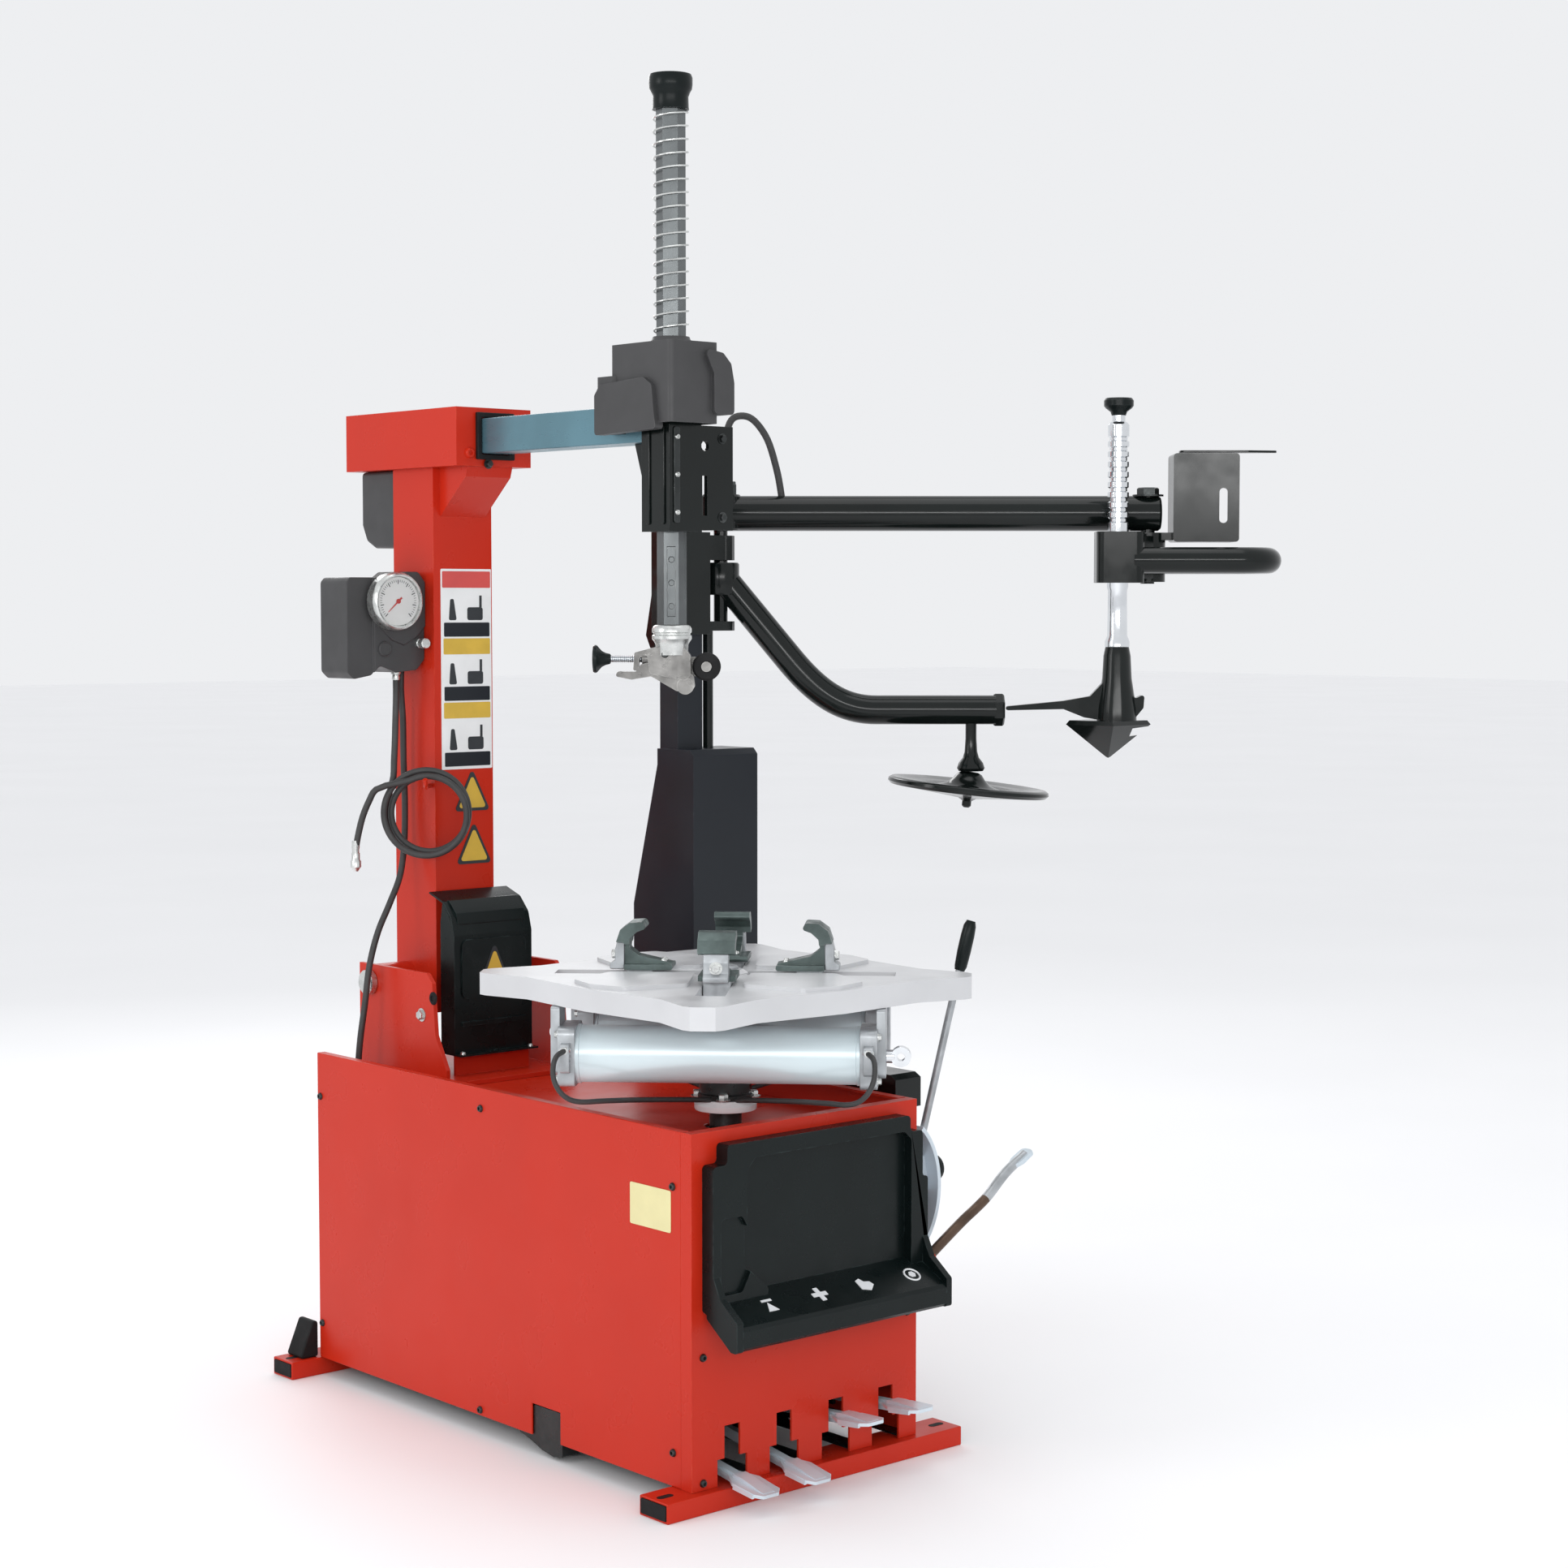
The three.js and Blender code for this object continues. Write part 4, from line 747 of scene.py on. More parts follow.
def base_cover():
    sheet = strip([(801.5, 557), (801.5, 760), (810, 790), (833, 814), (873, 827.5)], 3, 12)
    side = [(801, 557), (840, 557), (840, 780), (834, 812), (812, 788), (801, 758)]
    rib = [(802, 770), (808, 796), (832, 819), (838, 812), (816, 784)]
    shell = unite(prism("x", sheet, -80, 80), prism("x", side, -80, -77), prism("x", side, 77, 80),
                  block((-80, 80), (782, 802), (557, 560)),
                  prism("y", rounded(rect((-66, 66), (652, 752)), 12), 797, 801),
                  block((-66, 66), (796, 801), (606, 613)),
                  prism("x", rounded(rib, 4), -70, 70))
    piece("base_cover_shell", shell, TRAY_PLASTIC, "cabinet", ["base_cover"], bevel=2.2)
    fasteners("base_cover_screws", screw_head, (5, 4), [(-70, 791, 560), (70, 791, 560)], "+z", ZINC,
              "cabinet")
    triangle("cover_triangle", (0, 696), 64, 74, 797, "cabinet")


GAUGE_X, GAUGE_Z = -130, 1320


def gauge_box():
    outline = [(-213, 1352), (-206, 1360), (-112, 1360), (-98, 1370), (-74, 1370), (-60.4, 1352),
               (-60.4, 1222),
               (-76, 1204), (-118, 1200), (-150, 1212), (-165, 1196), (-200, 1190), (-213, 1202)]
    low_part = [(-161, 1180), (-161, 1285), (-128, 1255), (-103, 1246), (-78, 1260), (-50, 1288), (-50, 1180)]
    body = carve(prism("y", rounded(outline, 9), 906, 994),
                 prism("y", rect((-230, -161), (1180, 1380)), 890, 913), prism("y", low_part, 890, 909.5))
    piece("gauge_box_shell", body, CHARCOAL, "column", ["gauge_box"], bevel=3)
    boss = lathe([(0, 0), (13, 0), (12.5, 3), (11, 4), (10, 2.6), (0, 2.6)], 32)
    piece("gauge_box_button", moved(boss, at(-141, 909.5, 1240, "-y")), CHARCOAL, "column")
    tap = lathe([(0, 0), (8, 0), (8, 5), (6, 6), (6, 10), (9, 11), (9, 21), (7.5, 23), (0, 23)], 28)
    piece("gauge_box_tap", moved(tap, at(-72, 909.5, 1249, "-y")), ZINC, "column")


def gauge():
    centre = at(GAUGE_X, 905.7, GAUGE_Z, "-y")
    bezel = lathe([(0, 0), (48, 0), (48, 14), (49, 16), (49, 20), (47, 25), (44.5, 26.6), (42, 26),
                   (41, 22.5), (40, 21), (0, 21)], 72)
    piece("gauge_bezel", moved(bezel, centre), ZINC, "column", ["pressure_gauge"])
    piece("gauge_dial", moved(lathe([(0, 20.5), (40.5, 20.5), (40.5, 21.6), (0, 21.6)], 64), centre), DIAL,
          "column")
    marks = []
    for i in range(41):
        long = i % 5 == 0
        half = 0.7 if long else 0.35
        mark = block((29 if long else 32, 36), (-half, half), (21.5, 22))
        marks.append(moved(mark, spin(225 - 270 * i / 40, "Z")))
    piece("gauge_marks", moved(joined(*marks), centre), INK, "column")
    needle = unite(prism("z", [(-9, -1.6), (27, -0.4), (27, 0.4), (-9, 1.6)], 22, 22.8),
                   bar("z", (0, 0), 4, 21.8, 23.6))
    piece("gauge_needle", moved(needle, centre @ spin(222, "Z")), NEEDLE, "column")
    glass = lathe([(0, 25.6), (30, 24.8), (41, 23.4), (41, 22.8), (30, 24), (0, 24.8)], 56)
    piece("gauge_glass", moved(glass, centre), GLASS, "column")


def make_column():
    dress("column", RED, 4, 3)
    dress("column_bracket", RED, 2)
    dress("tilt_cylinder", DARK_STEEL, 1)
    dress("tilt_rod", CHROME, 0.8)
    dress("head_rear_cover", CHARCOAL, 7, 3)
    pin = lathe([(0, -150), (9, -150), (10, -149), (19, -149), (21, -147), (21, -137), (15, -136), (15, 136),
                 (21, 137), (21, 147), (19, 149), (10, 149), (9, 150), (0, 150)], 40)
    piece("column_pivot", moved(pin, at(0, 968, 671, "+x")), ZINC, "cabinet", ["column_pivot_pin"])
    fasteners("bracket_bolt", hex_head, (8, 8), [(-136, 814, 631)], "-x", ZINC, "cabinet")
    fasteners("bracket_plug", screw_head, (11, 3), [(-136, 780, 662)], "-x", RUBBER, "cabinet")
    fasteners("head_plate_screw", screw_head, (9, 5), [(-50, 789, 1566)], "-y", RED, "column")
    fasteners("head_foot_screw", hex_head, (7, 8), [(24, 812, 1545)], "-z", ZINC, "column")
    label_panels()
    base_cover()
    gauge_box()
    gauge()


# ---- Horizontal arm, lock head and tool shaft ----
def lock_cover():
    upper = prism("z", rounded(rect((-58, 38), (248, 398)), 9), 1592, 1716)
    flank = [(276, 1582), (428, 1578), (428, 1640), (414, 1656), (306, 1662), (286, 1650)]
    left = prism("x", rounded(flank, 6), -66, -50)
    rear = prism("z", rounded(rect((-64, 46), (380, 428)), 10), 1580, 1668)
    cheek = [(2, 1706), (40, 1700), (56, 1684), (62, 1655), (62, 1606), (22, 1606), (22, 1668)]
    right = prism("y", rounded(cheek, 7), 240, 408)
    collar = lathe([(0, 1710), (37, 1710), (34, 1718), (30, 1723), (28.5, 1727), (0, 1727)], 48)
    shell = carve(unite(upper, left, rear, right, moved(collar, shift(0, TOOL_Y, 0))),
                  block((-50, 34), (256, 392), (1550, 1700)), block((-31, 31), (380, 450), (1550, 1628)),
                  bar("z", (0, TOOL_Y), 24.6, 1650, 1740))
    piece("lock_cover_shell", shell, CHARCOAL, "arm", ["lock_cover"], bevel=3.5)


def tool_shaft():
    hexagon = ring((0, TOOL_Y), 40 / math.sqrt(3), 6, HELP_TURN)
    groove = moved(block((-6.5, 6.5), (-22, -14.5), (1296, 1404)), TOOL)
    dimples = [moved(bar("y", (0, z), 4.5, -16, -9, 20), TOOL) for z in (1312, 1348, 1384)]
    piece("hex_shaft_bar", carve(prism("z", hexagon, 1282.9, 2074), groove, *dimples), SHAFT, "shaft",
          ["hex_shaft"], bevel=1.1)
    cap = lathe([(0, 2073.8), (28.5, 2073.8), (28, 2078), (27.5, 2093), (30, 2100), (33, 2105), (34, 2112),
                 (34, 2122), (32, 2127), (27, 2127), (25, 2124), (0, 2124)], 60)
    piece("shaft_cap", moved(cap, shift(0, TOOL_Y, 0)), TRAY_PLASTIC, "shaft")
    per_turn, coil, wire = 26, 26.5, 1.5
    steps = 17 * per_turn
    low, high = 1728.9, 2072.1
    angles = [i / per_turn * 2 * math.pi for i in range(steps + 1)]
    helix = [(coil * math.cos(a), TOOL_Y + coil * math.sin(a), low + (high - low) * i / steps)
             for i, a in enumerate(angles)]
    spring = piece("return_spring", sweep(helix, wire, 8), ZINC, "arm", ["shaft_spring"])
    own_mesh(spring)


def mount_head():
    collar = lathe([(0, 1236), (25, 1236), (25.5, 1252), (28, 1257), (31, 1261), (31, 1266), (29, 1267.5),
                    (29, 1270), (31, 1271.5), (31, 1277), (28.5, 1281), (26, 1282.7), (0, 1282.7)], 56)
    piece("mount_head_collar", collar, ZINC, "shaft", place=TOOL)
    neck = [(-34, 1207), (22, 1197), (30, 1206), (29, 1236), (20, 1248), (-24, 1248), (-38, 1236)]
    body = prism("y", rounded(neck, 7), -18, 18)
    beak = [(-30, 1226), (-48, 1222), (-56, 1210), (-84, 1211), (-88, 1203), (-62, 1198), (-32, 1203),
            (8, 1180), (36, 1184), (34, 1206)]
    finger = prism("y", rounded(beak, 5), -13, 13)
    shelf = [(-20, 1250), (-58, 1240), (-60, 1212), (-52, 1212), (-50, 1232), (-20, 1240)]
    step = prism("y", rounded(shelf, 3), -11, 11)
    arm = prism("y", rounded(rect((18, 62), (1203, 1233)), 8), 13.4, 22)
    whole = unite(body, finger, step, arm, bar("y", (54, 1218), 8, -13.4, 21),
                  bar("y", (21, 1188), 13, -16, 16), bar("x", (0, 1230), 12, -46, -20))
    piece("mount_head_body", carve(whole, bar("x", (0, 1230), 6.6, -60, -27)), CAST, "shaft", ["mount_head"],
          place=TOOL, bevel=1.8)
    fasteners("mount_head_screw", screw_head, (6, 3), [(-10, -18, 1238)], "-y", DARK_STEEL, "shaft",
              place=TOOL)
    tread = lathe([(8.6, -13), (19, -13), (22, -10), (22, 10), (19, 13), (8.6, 13), (8.6, -13)], 48)
    piece("head_roller_wheel", moved(tread, at(54, 0, 1218, "-y")), RUBBER, "head_roller", ["head_roller"],
          TOOL)
    knob = lathe([(0, 0), (6, 0), (8, 1.5), (9.5, 8), (12.5, 14), (18, 19), (21.5, 22), (22, 25),
                  (20.5, 27.5), (12, 28.6), (0, 29)], 48)
    piece("adjuster_handle", moved(knob, at(-95, 0, 1230, "-x")), TRAY_PLASTIC, "adjuster_knob",
          ["adjuster_knob"], TOOL)
    turns = [r for i in range(22) for r in ((5.9, -98 + 3 * i), (4.6, -96.5 + 3 * i))]
    thread = lathe([(0, -98), *turns, (0, -32)], 20)
    piece("adjuster_thread", moved(thread, shift(0, 0, 1230) @ FACING["+x"]), CHROME, "adjuster_knob",
          place=TOOL)


def make_tool():
    dress("horizontal_arm", ARM_STEEL, 3, 3)
    dress("lock_head", BLACK, 2)
    rails = [prism("x", rounded(rect((y, y + 9), (1438, 1590)), 3), -35, -31.8) for y in (294, 330)]
    piece("lock_guide_rails", joined(*rails), BLACK, "arm", bevel=1.2)
    piece("lock_guide_gib", prism("y", rounded(rect((-24, -12), (1440, 1588)), 4), 281.5, 284.2), DARK_STEEL,
          "arm", bevel=0.8)
    fasteners("lock_guide_screws", screw_head, (4.5, 3), [(-18, 281.5, z) for z in (1456, 1514, 1572)], "-y",
              ZINC, "arm")
    fasteners("lock_plate_bolts", hex_head, (6, 6), [(74, 284, 1450), (74, 284, 1572)], "-y", DARK_STEEL,
              "arm")
    collar = carve(block((-38, 38), (781, 789), (1556, 1634)),
                   block((-29.2, 29.2), (770, 800), (1564.8, 1625.2)))
    piece("arm_collar", collar, RUBBER, "column", bevel=2)
    fasteners("arm_collar_bolt", hex_head, (6, 8), [(-14, 786, 1549)], "-y", DARK_STEEL, "column")
    clip = sweep([(-29, 415 + 14 * math.cos(a), 1598 + 14 * math.sin(a))
                  for a in (math.radians(50 + 13 * i) for i in range(21))], 2.2, 10)
    piece("arm_clip", clip, ZINC, "arm")
    lock_cover()
    tool_shaft()
    mount_head()


# ---- Turntable ----
TABLE_TIP, TABLE_SIDE = 377, 272
TABLE_TOP, TABLE_BOTTOM = 757, 717
QUARTERS = [90 * i for i in range(4)]
CLAMP_Z = 642  # axis of the clamp cylinders


def around(outline, degrees):
    turn = Matrix.Rotation(math.radians(degrees), 2)
    return [tuple(turn @ Vector(p)) for p in outline]


def table_plate():
    outline, slots, pads = [], [], []
    for turn in QUARTERS:
        arm = [(296, -70), (TABLE_TIP - 10, -30), (TABLE_TIP, -18), (TABLE_TIP, 18), (TABLE_TIP - 10, 30),
               (296, 70)]
        outline += around(arm, turn + 45)
        outline += around([(TABLE_SIDE, 0)], turn + 90)
        slots.append(prism("z", around(rect((35, 261), (-22, 22)), turn + 45), TABLE_BOTTOM - 9,
                           TABLE_TOP + 9))
        pad = rounded([(60, 0), (150, -92), (246, -60), (262, 0), (246, 60), (150, 92)], 12)
        pads.append(prism("z", around(pad, turn), TABLE_TOP - 12, TABLE_TOP))
    ribs = [prism("z", around(rect((-250, 250), (-6, 6)), turn), TABLE_BOTTOM,
                  TABLE_TOP - 7) for turn in (0, 90)]
    slab = carve(prism("z", outline, TABLE_BOTTOM, TABLE_TOP - 6),
                 bar("z", (0, 0), 225, 700, TABLE_BOTTOM + 14, 48))
    hub = lathe([(0, TABLE_BOTTOM), (34, TABLE_BOTTOM), (34, TABLE_TOP - 5), (26, TABLE_TOP),
                 (0, TABLE_TOP)], 48)
    whole = carve(unite(slab, *ribs, *pads, hub), *slots)
    piece("turntable_top", whole, PLATE, "turntable", ["turntable_plate"], TABLE, bevel=3)
    cap = lathe([(0, -1), (20, -1), (20, 3), (17, 6), (9, 6), (8, 3), (0, 3)], 32)
    piece("turntable_cap", cap, ALLOY, "turntable", place=TABLE @ shift(0, 0, TABLE_TOP))
    holes = [bar("z", p, 46, 690, 730) for p in ((-95, 0), (95, 0), (0, -95), (0, 95))]
    drive = carve(block((-85, 85), (-85, 85), (TABLE_BOTTOM - 14, TABLE_BOTTOM - 8)), *holes)
    piece("drive_square", drive, ALLOY, "turntable", place=TABLE, bevel=1.5)


def spindle():
    shaft = lathe([(0, 500.3), (25, 500.3), (25, 541), (36, 541), (36, 560), (43, 560), (43, 566), (40, 568),
                   (40, 586), (43, 589), (34, 592), (30, 596), (30, 700), (60, 700), (60, TABLE_BOTTOM - 1),
                   (0, TABLE_BOTTOM - 1)], 56)
    piece("spindle_body", shaft, DARK_STEEL, "turntable", ["turntable_spindle"], TABLE)
    collar = lathe([(25.5, 541), (47, 541), (48, 543), (48, 550), (46, 552), (44, 558), (25.5, 558),
                    (25.5, 541)], 56)
    piece("coupling_ring", collar, WHITE_NYLON, "turntable", place=TABLE)
    fasteners("coupling_nuts", hex_head, (8, 10), [(x, y, 560) for x, y in ((-30, -30), (30, -30), (30, 30),
                                                                            (-30, 30))],
              "+z", ZINC, "turntable", place=TABLE)


def jaw(number):
    """A dark hooked claw on a bright slider that runs in a slot of the plate."""
    body = f"jaw_{number}"
    place = TABLE @ spin(90 * number - 45, "Z") @ shift(130, 0, TABLE_TOP)
    claw = rounded([(-52, 0.6), (30, 0.6), (33, 17), (35, 44), (29, 62), (14, 73), (-6, 74), (-11, 64),
                    (3, 59), (14, 49), (16, 33), (2, 22), (-50, 10)], 4)
    notch = prism("y", rounded(rect((23, 60), (-4, 43)), 3), -30, 30)
    sides = [block((-70, 26), (s * 30 - 15, s * 30 + 15), (9, 40)) for s in (-1, 1)]
    piece(f"{body}_claw", carve(prism("y", claw, -28, 28), notch, *sides), JAW, body, [body], place, bevel=2)
    front = rounded([(23.5, 0.6), (46, 0.6), (46, 9), (38, 14), (38, 30), (35, 42.5), (23.5, 42.5)], 2.5)
    slider = unite(prism("y", front, -19, 19), block((-20, 20), (-21, 21), (-43, 2)),
                   block((-24, 24), (-28, 28), (-47, -41.2)))
    piece(f"{body}_slider", slider, ALLOY, body, place=place, bevel=1.6)
    fasteners(f"{body}_bolts", hex_head, (7, 7), [(38, 0, 22)], "+x", ZINC, body, place=place)
    fasteners(f"{body}_pins", screw_head, (5, 5), [(-36, -9, 11), (-36, 9, 11)], "+z", ZINC, body,
              place=place)


def clamp_cylinder(side, degrees):
    place = TABLE @ spin(degrees, "Z") @ shift(0, -110, 0)
    barrel = lathe([(0, -214), (44.5, -214), (44.5, -207), (43, -206), (43, 206), (44.5, 207), (44.5, 214),
                    (0, 214)],
                   72)
    hole = bar("z", (0, 0), 10.5, 100, 240)
    barrel = carve(barrel, hole)
    piece(f"clamp_barrel_{side}", moved(barrel, at(0, 0, CLAMP_Z, "+x")), CYLINDER, "turntable",
          [f"clamp_cylinder_{side}"], place)
    square = rounded(rect((-45, 45), (597, 687)), 12)
    parts = []
    for sign in (-1, 1):
        low, high = sorted((sign * 212, sign * 238))
        cap = prism("x", square, low, high)
        lug_low, lug_high = sorted((sign * 236, sign * 250))
        lug = prism("x", rounded([(-30, 618), (-22, 612), (22, 612), (30, 618), (30, TABLE_BOTTOM - 1),
                                     (-30, TABLE_BOTTOM - 1)], 5),
                    lug_low, lug_high)
        ear = prism("x", rounded(rect((-62, -36), (620, 664)), 8), *sorted((sign * 218, sign * 232)))
        parts.append(carve(unite(cap, lug, ear), bar("x", (0, CLAMP_Z), 17, lug_low - 1, lug_high + 1, 32),
                           bar("x", (-52, CLAMP_Z), 6, *sorted((sign * 200, sign * 240)), 20)))
    caps = joined(*parts)
    caps = carve(caps, bar("x", (0, CLAMP_Z), 10.6, 205, 260, 28))
    piece(f"clamp_caps_{side}", caps, ALLOY, "turntable", place=place, bevel=2)
    corners = [(y, z) for y in (-33, 33) for z in (609, 675)]
    for sign, facing, end in ((-1, "-x", "left"), (1, "+x", "right")):
        fasteners(f"tie_bolts_{side}_{end}", hex_head, (5, 6), [(sign * 238, y, z) for y, z in corners],
                  facing, ZINC, "turntable", place=place)
    elbows = []
    for sign in (-1, 1):
        nose = lathe([(0, 0), (7, 0), (7, 6), (9, 7), (9, 13), (6, 15), (6, 20), (0, 20)], 6)
        elbows.append(moved(nose, at(sign * 225, -45, 655, "-y")))
    piece(f"air_fittings_{side}", joined(*elbows), ZINC, "turntable", place=place)
    rod = unite(moved(lathe([(0, 140), (10, 140), (10, 262), (8, 264), (0, 264)], 32),
                      at(0, 0, CLAMP_Z, "+x")),
                bar("y", (272, CLAMP_Z), 15, -9, 9))
    rod = carve(rod, bar("y", (272, CLAMP_Z), 6, -12, 12, 24))
    piece(f"clamp_rod_{side}_bar", rod, CHROME, f"clamp_rod_{side}", [f"clamp_rod_{side}"], place, bevel=0.8)


# Air hoses from the ends of the front cylinder to the coupling, in the table's own frame.
# A point is (reach from the table's axis, sideways, height).
HOSE_LOOP = [(281, 37, 655), (301, 29, 650), (314, 20, 638), (319, 12, 620), (314, 4, 602), (301, -2, 590),
             (284, -7, 585), (250, -12, 583), (190, -14, 578), (100, -14, 568), (38, -12, 560)]
TABLE_HOSES = {
    "left": [(-reach, side, z) for reach, side, z in HOSE_LOOP],
    "right": [(side, -reach, z) for reach, side, z in HOSE_LOOP],
}


def table_hoses():
    """The rear cylinder's hoses are the front ones turned half way round."""
    for side, turn in (("front", 0), ("rear", 180)):
        place = TABLE @ spin(turn, "Z")
        for end, route in TABLE_HOSES.items():
            points = curve_points(route, 5)
            hose = piece(f"table_hose_{side}_{end}", sweep(points, 4, 12), HOSE_RUBBER, "turntable",
                         place=place)


def make_turntable():
    table_plate()
    spindle()
    for number in range(1, 5):
        jaw(number)
    clamp_cylinder("front", -45)
    clamp_cylinder("rear", 135)
    table_hoses()


# ---- Help arm: built along +X from its pivot ----
PRESS_X, PRESS_Y = 672, -69
ELBOW_X, UPPER_ARM_Z, LOWER_ARM_Z = 731, 1470, 1134


def upper_arm():
    tube = lathe([(0, 10), (30, 10), (30, 748), (27, 752), (0, 752)], 64)
    whole = unite(moved(tube, at(0, 0, UPPER_ARM_Z, "+x")), lathe([(0, 1440.5), (33, 1440.5), (36, 1444),
                                                                   (36, 1498),
                                                           (33, 1502), (0, 1502)], 56),
                  bar("z", (ELBOW_X, 0), 12, 1350, 1502))
    whole = carve(whole, bar("z", (0, 0), 12.6, 1400, 1499))
    piece("upper_arm_tube", whole, BLACK, "upper_arm", ["upper_arm"], HELP, bevel=1.2)
    fasteners("elbow_nut", hex_head, (19, 15), [(ELBOW_X, 0, 1499)], "+z", DARK_STEEL, "upper_arm",
              place=HELP)
    arch = curve_points([(8, 0, 1532), (8, 0, 1560), (9, 0, 1600), (22, 0, 1632), (48, 0, 1634),
                         (76, 0, 1604), (96, 0, 1545), (106, 0, 1490)], 6)
    piece("arm_hose", sweep(arch, 6, 18), HOSE_RUBBER, "upper_arm", place=HELP)
    foot = lathe([(0, 1515), (9, 1515), (9, 1530), (7.5, 1532), (7.5, 1545), (0, 1545)], 28)
    clip = joined(moved(foot, shift(8, 0, 0)), block((-16, 26), (-16, 16), (1517, 1524)),
                  block((21, 27), (-8, 8), (1498, 1520)))
    piece("arm_hose_clip", clip, DARK_STEEL, "upper_arm", place=HELP, bevel=1)


def press_link():
    x, y = PRESS_X, PRESS_Y
    sleeve = prism("z", rounded(rect((x - 38, x + 42), (y - 36, y + 36)), 15), 1351, 1437)
    web = prism("z", [(x, y + 30), (x + 36, y + 8), (ELBOW_X + 26, -8), (ELBOW_X - 14, 26)], 1359, 1431)
    whole = carve(unite(sleeve, web, bar("z", (ELBOW_X, 0), 30, 1353, 1437, 56),
                        block((ELBOW_X, 776), (-22, 22), (1424, 1437))),
                  bar("z", (x, y), 18.5, 1340, 1450, 56), bar("z", (ELBOW_X, 0), 12.5, 1340, 1450, 40))
    piece("press_link_body", whole, BLACK, "press_link", ["press_link"], HELP, bevel=2.6)
    middle, bend, far = y + 39, 55, 877
    turns = [math.radians(-90 + 10 * i) for i in range(19)]
    loop = [(x + 24, middle - bend, 1389)] + \
           [(far + bend * math.cos(a), middle + bend * math.sin(a), 1389) for a in turns] + \
           [(ELBOW_X + 12, middle + bend, 1389)]
    piece("press_handle", sweep(loop, 22, 40), BLACK, "press_link", place=HELP)
    outer = prism("y", rounded(rect((770, 882), (1421, 1571)), 6), -35, 35)
    box = carve(outer, prism("y", rounded(rect((773, 879), (1424, 1568)), 4), -32, 40),
                prism("y", rounded(rect((848, 862), (1453, 1512)), 6.5), -40, -30),
                block((876, 890), (-32, 40), (1424, 1511)))
    piece("control_box", box, BLACK, "press_link", place=HELP, bevel=0.9)
    valve = unite(block((786, 836), (-22, 22), (1430, 1492)), bar("z", (800, 0), 8, 1485, 1571))
    piece("control_valve", valve, ALLOY, "press_link", place=HELP, bevel=1.5)
    lever = unite(prism("z", rounded([(784, -14), (900, -14), (950, -4), (950, 4), (900, 14), (784, 14)], 8),
                        1573, 1577), lathe([(0, 1571.4), (9, 1571.4), (9, 1580), (7, 1582), (0, 1582)], 32))
    piece("control_lever_plate", lever, BLACK, "control_lever", ["control_lever"], HELP, bevel=1)


def press_rod():
    notches = [p for z in range(1452, 1600, 17) for p in ((18, z), (15, z + 2), (15, z + 7), (18, z + 9))]
    rod = lathe([(0, 1243.4), (21, 1243.4), (21, 1252), (17, 1262), (16, 1338), (18, 1344), *notches,
                 (18, 1616), (15, 1620), (11, 1622), (11, 1640), (0, 1640)], 56)
    piece("press_rod_bar", rod, CHROME, "press", ["press_rod"], HELP @ shift(PRESS_X, PRESS_Y, 0))
    knob = lathe([(0, 1632), (12, 1632), (14, 1638), (22, 1644), (25, 1648), (25, 1657), (22, 1661),
                  (0, 1661)], 48)
    piece("press_rod_knob", knob, TRAY_PLASTIC, "press", place=HELP @ shift(PRESS_X, PRESS_Y, 0))


def press_foot():
    x, y = PRESS_X, PRESS_Y
    sleeve = lathe([(0, 1112), (34, 1112), (33, 1140), (29, 1165), (25, 1190), (23, 1228), (20, 1243),
                    (0, 1243)], 40)
    beak = prism("y", rounded([(x, 1178), (x - 22, 1186), (x - 46, 1160), (x - 91, 1152), (x - 186, 1143),
                               (x - 188, 1136), (x - 91, 1138), (x - 56, 1124), (x - 20, 1118), (x, 1118)],
                               4),
                 y - 9, y + 9)
    hook = prism("y", rounded([(x, 1120), (x + 26, 1118), (x + 44, 1140), (x + 46, 1164), (x + 30, 1156),
                               (x + 16, 1176), (x, 1178)], 4), y - 12, y + 12)
    tip = lathe([(0, 1055), (4, 1057), (72, 1112), (66, 1119), (0, 1119)], 4)
    tip = moved(tip, shift(x - 14, y, 0))
    notch = [(x + 20, 1092), (x + 90, 1100), (x + 90, 1112), (x + 24, 1106)]
    whole = carve(unite(moved(sleeve, shift(x, y, 0)), beak, hook, tip), prism("y", notch, y - 70, y + 70))
    piece("press_foot_body", whole, BLACK, "press", ["press_foot"], HELP, bevel=2.2)


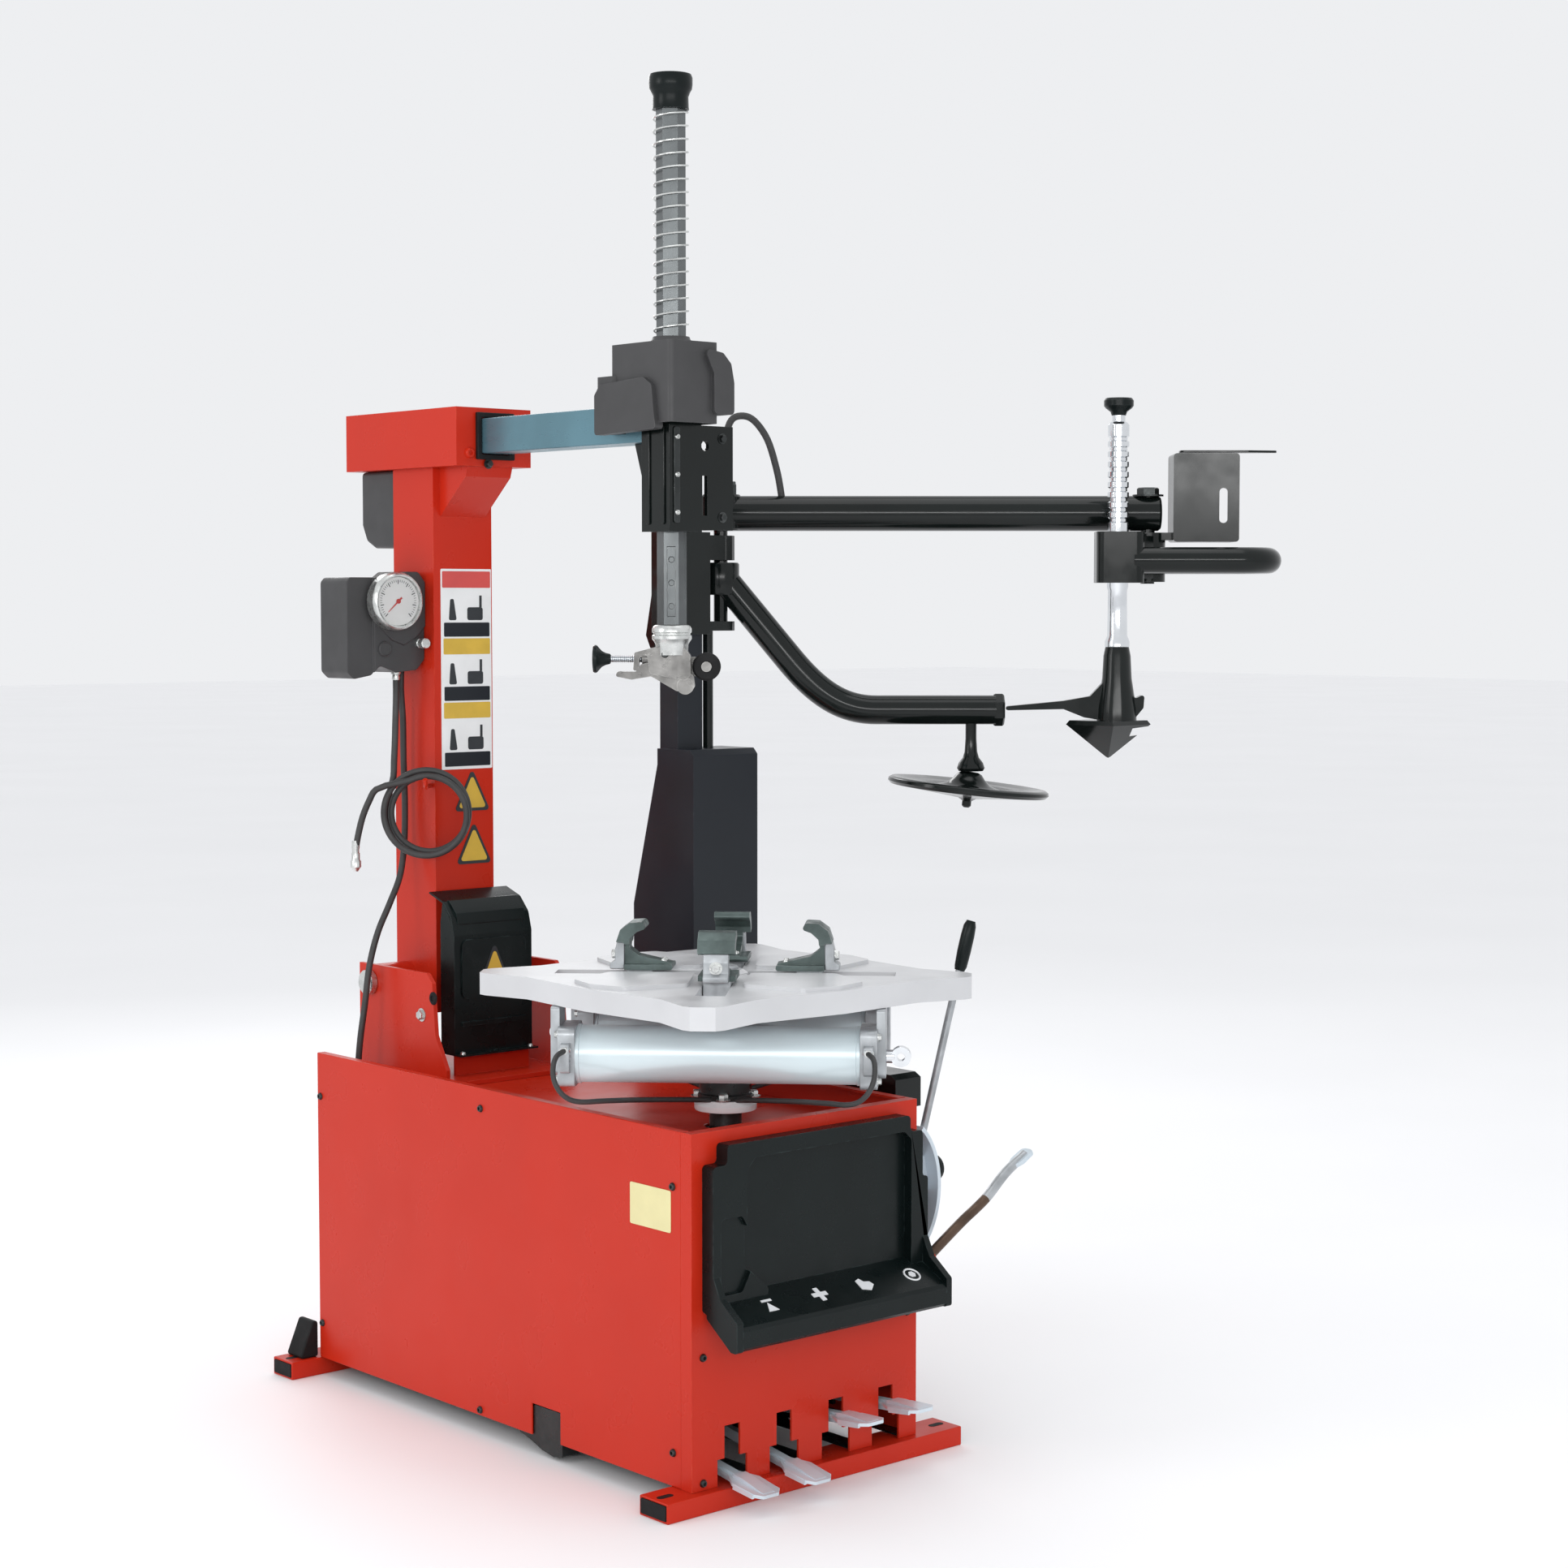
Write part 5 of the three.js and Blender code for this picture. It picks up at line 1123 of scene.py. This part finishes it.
def lower_arm():
    knee = interpolate_bezier((118, 0, 1221), (170, 0, 1158), (212, 0, LOWER_ARM_Z), (268, 0, LOWER_ARM_Z),
                              20)
    line = [(6, 0, 1357), *knee, (472, 0, LOWER_ARM_Z)]
    piece("lower_arm_tube", sweep(line, 25, 48), BLACK, "lower_arm", ["lower_arm"], HELP)
    hub = carve(lathe([(0, 1331), (30, 1331), (32, 1334), (32, 1383), (30, 1386), (0, 1386)], 48),
                bar("z", (0, 0), 12.6, 1320, 1400))
    piece("lower_arm_hub", hub, BLACK, "lower_arm", place=HELP)
    end = lathe([(0, 468), (26, 468), (28, 471), (28, 484), (25, 487), (0, 487)], 6)
    piece("lower_arm_end", moved(end, at(0, 0, LOWER_ARM_Z, "+x")), BLACK, "lower_arm", place=HELP, bevel=1)
    stem = lathe([(0, 1028.5), (21, 1029), (24, 1034), (21, 1043), (14, 1052), (11, 1062), (9.5, 1085),
                  (9.5, 1118), (0, 1118)], 40)
    piece("lift_stem", moved(stem, shift(430, 0, 0)), BLACK, "lower_arm", place=HELP)
    disc = lathe([(0, -38), (5, -38), (8, -35), (8, -27), (16, -22), (60, -17), (134, -9), (139, -4),
                  (138, 1),
                  (133, 4), (126, 4), (110, 1), (60, -4), (38, 2), (27, 12), (21, 20), (15, 23), (0, 24.2)],
                  96)
    piece("lift_disc_plate", disc, BLACK, "lift_disc", ["lift_disc"],
          HELP @ shift(426, 0, 1004) @ spin(6, "Y"))


def make_help_arm():
    dress("help_post", NAVY, 2)
    dress("carriage", BLACK, 2)
    upper_arm()
    press_link()
    press_rod()
    press_foot()
    lower_arm()


# ---- Bead breaker ----
BLADE_HINGE = (282, 105)


def blade_edge(wide, high, angles):
    return [(250 + wide * math.cos(a), 395 + high * math.sin(a)) for a in angles]


def breaker_blade():
    turns = [-0.95 + 1.9 * i / 28 for i in range(29)]
    outline = blade_edge(93, 120, turns) + blade_edge(86, 113, turns[::-1])
    blade = unite(prism("y", outline, 66, 240), prism("x", rounded(rect((91, 119), (384, 440)), 4), 288, 348),
                  bar("z", BLADE_HINGE, 20, 376, 450, 40), bar("x", (105, 414), 10, 330, 360, 32))
    piece("blade_shell", carve(blade, bar("z", BLADE_HINGE, 10.6, 360, 460, 32)), PEDAL_STEEL,
          "breaker_blade", ["breaker_blade"], bevel=1.5)
    knob = lathe([(0, 0), (19, 0), (22, 3), (23, 12), (21, 20), (16, 24), (0, 25)], 28)
    piece("blade_knob", moved(knob, at(348, 105, 414, "+x")), TRAY_PLASTIC, "breaker_blade", bevel=1.5)
    piece("blade_handle", sweep([(322, 88, 474), (340, 79, 560), (360, 68, 660), (378, 59, 745)], 6, 20),
          ALLOY, "breaker_blade")
    rise = [(376, 60, 735), (378, 59, 742), (382, 56, 765), (387, 53, 790), (390, 51, 806), (392, 50, 814)]
    piece("blade_grip", sweep(rise, [8, 10, 11, 11, 10, 7], 28), TRAY_PLASTIC, "breaker_blade")


LEVER_FOOT = (255, 38, 271)
LEVER_CURVE = [(0, 0), (52, 33), (106, 66), (160, 96), (206, 132), (250, 156)]


def tire_lever():
    x, y, z = LEVER_FOOT
    points = curve_points([(x + u, y, z + v) for u, v in LEVER_CURVE], 6)
    half = len(points) * 3 // 5
    piece("tire_lever_shaft", sweep(points[:half + 1], 8, 24), BRONZED, "tire_lever", ["tire_lever"])
    piece("tire_lever_neck", sweep(points[half:], 8, 24), ALLOY, "tire_lever")
    spoon = prism("z", rounded([(-22, -8), (-8, -14), (18, -13), (22, -6), (22, 6), (18, 13), (-8, 14),
                                (-22, 8)], 6),
                  -3.5, 3.5)
    place = shift(x + 240, y, z + 151) @ spin(-28.6, "Y")
    piece("tire_lever_spoon", spoon, PEDAL_STEEL, "tire_lever", place=place, bevel=1.4)


def make_breaker():
    dress("breaker_arm", BLACK, 4, 3)
    dress("breaker_rod", CHROME, 1)
    breaker_blade()
    tire_lever()


make_camera()
inflation_hose()
supply_hose()
make_floor()
make_light()
make_cabinet()
make_column()
make_tool()
make_turntable()
make_help_arm()
make_breaker()
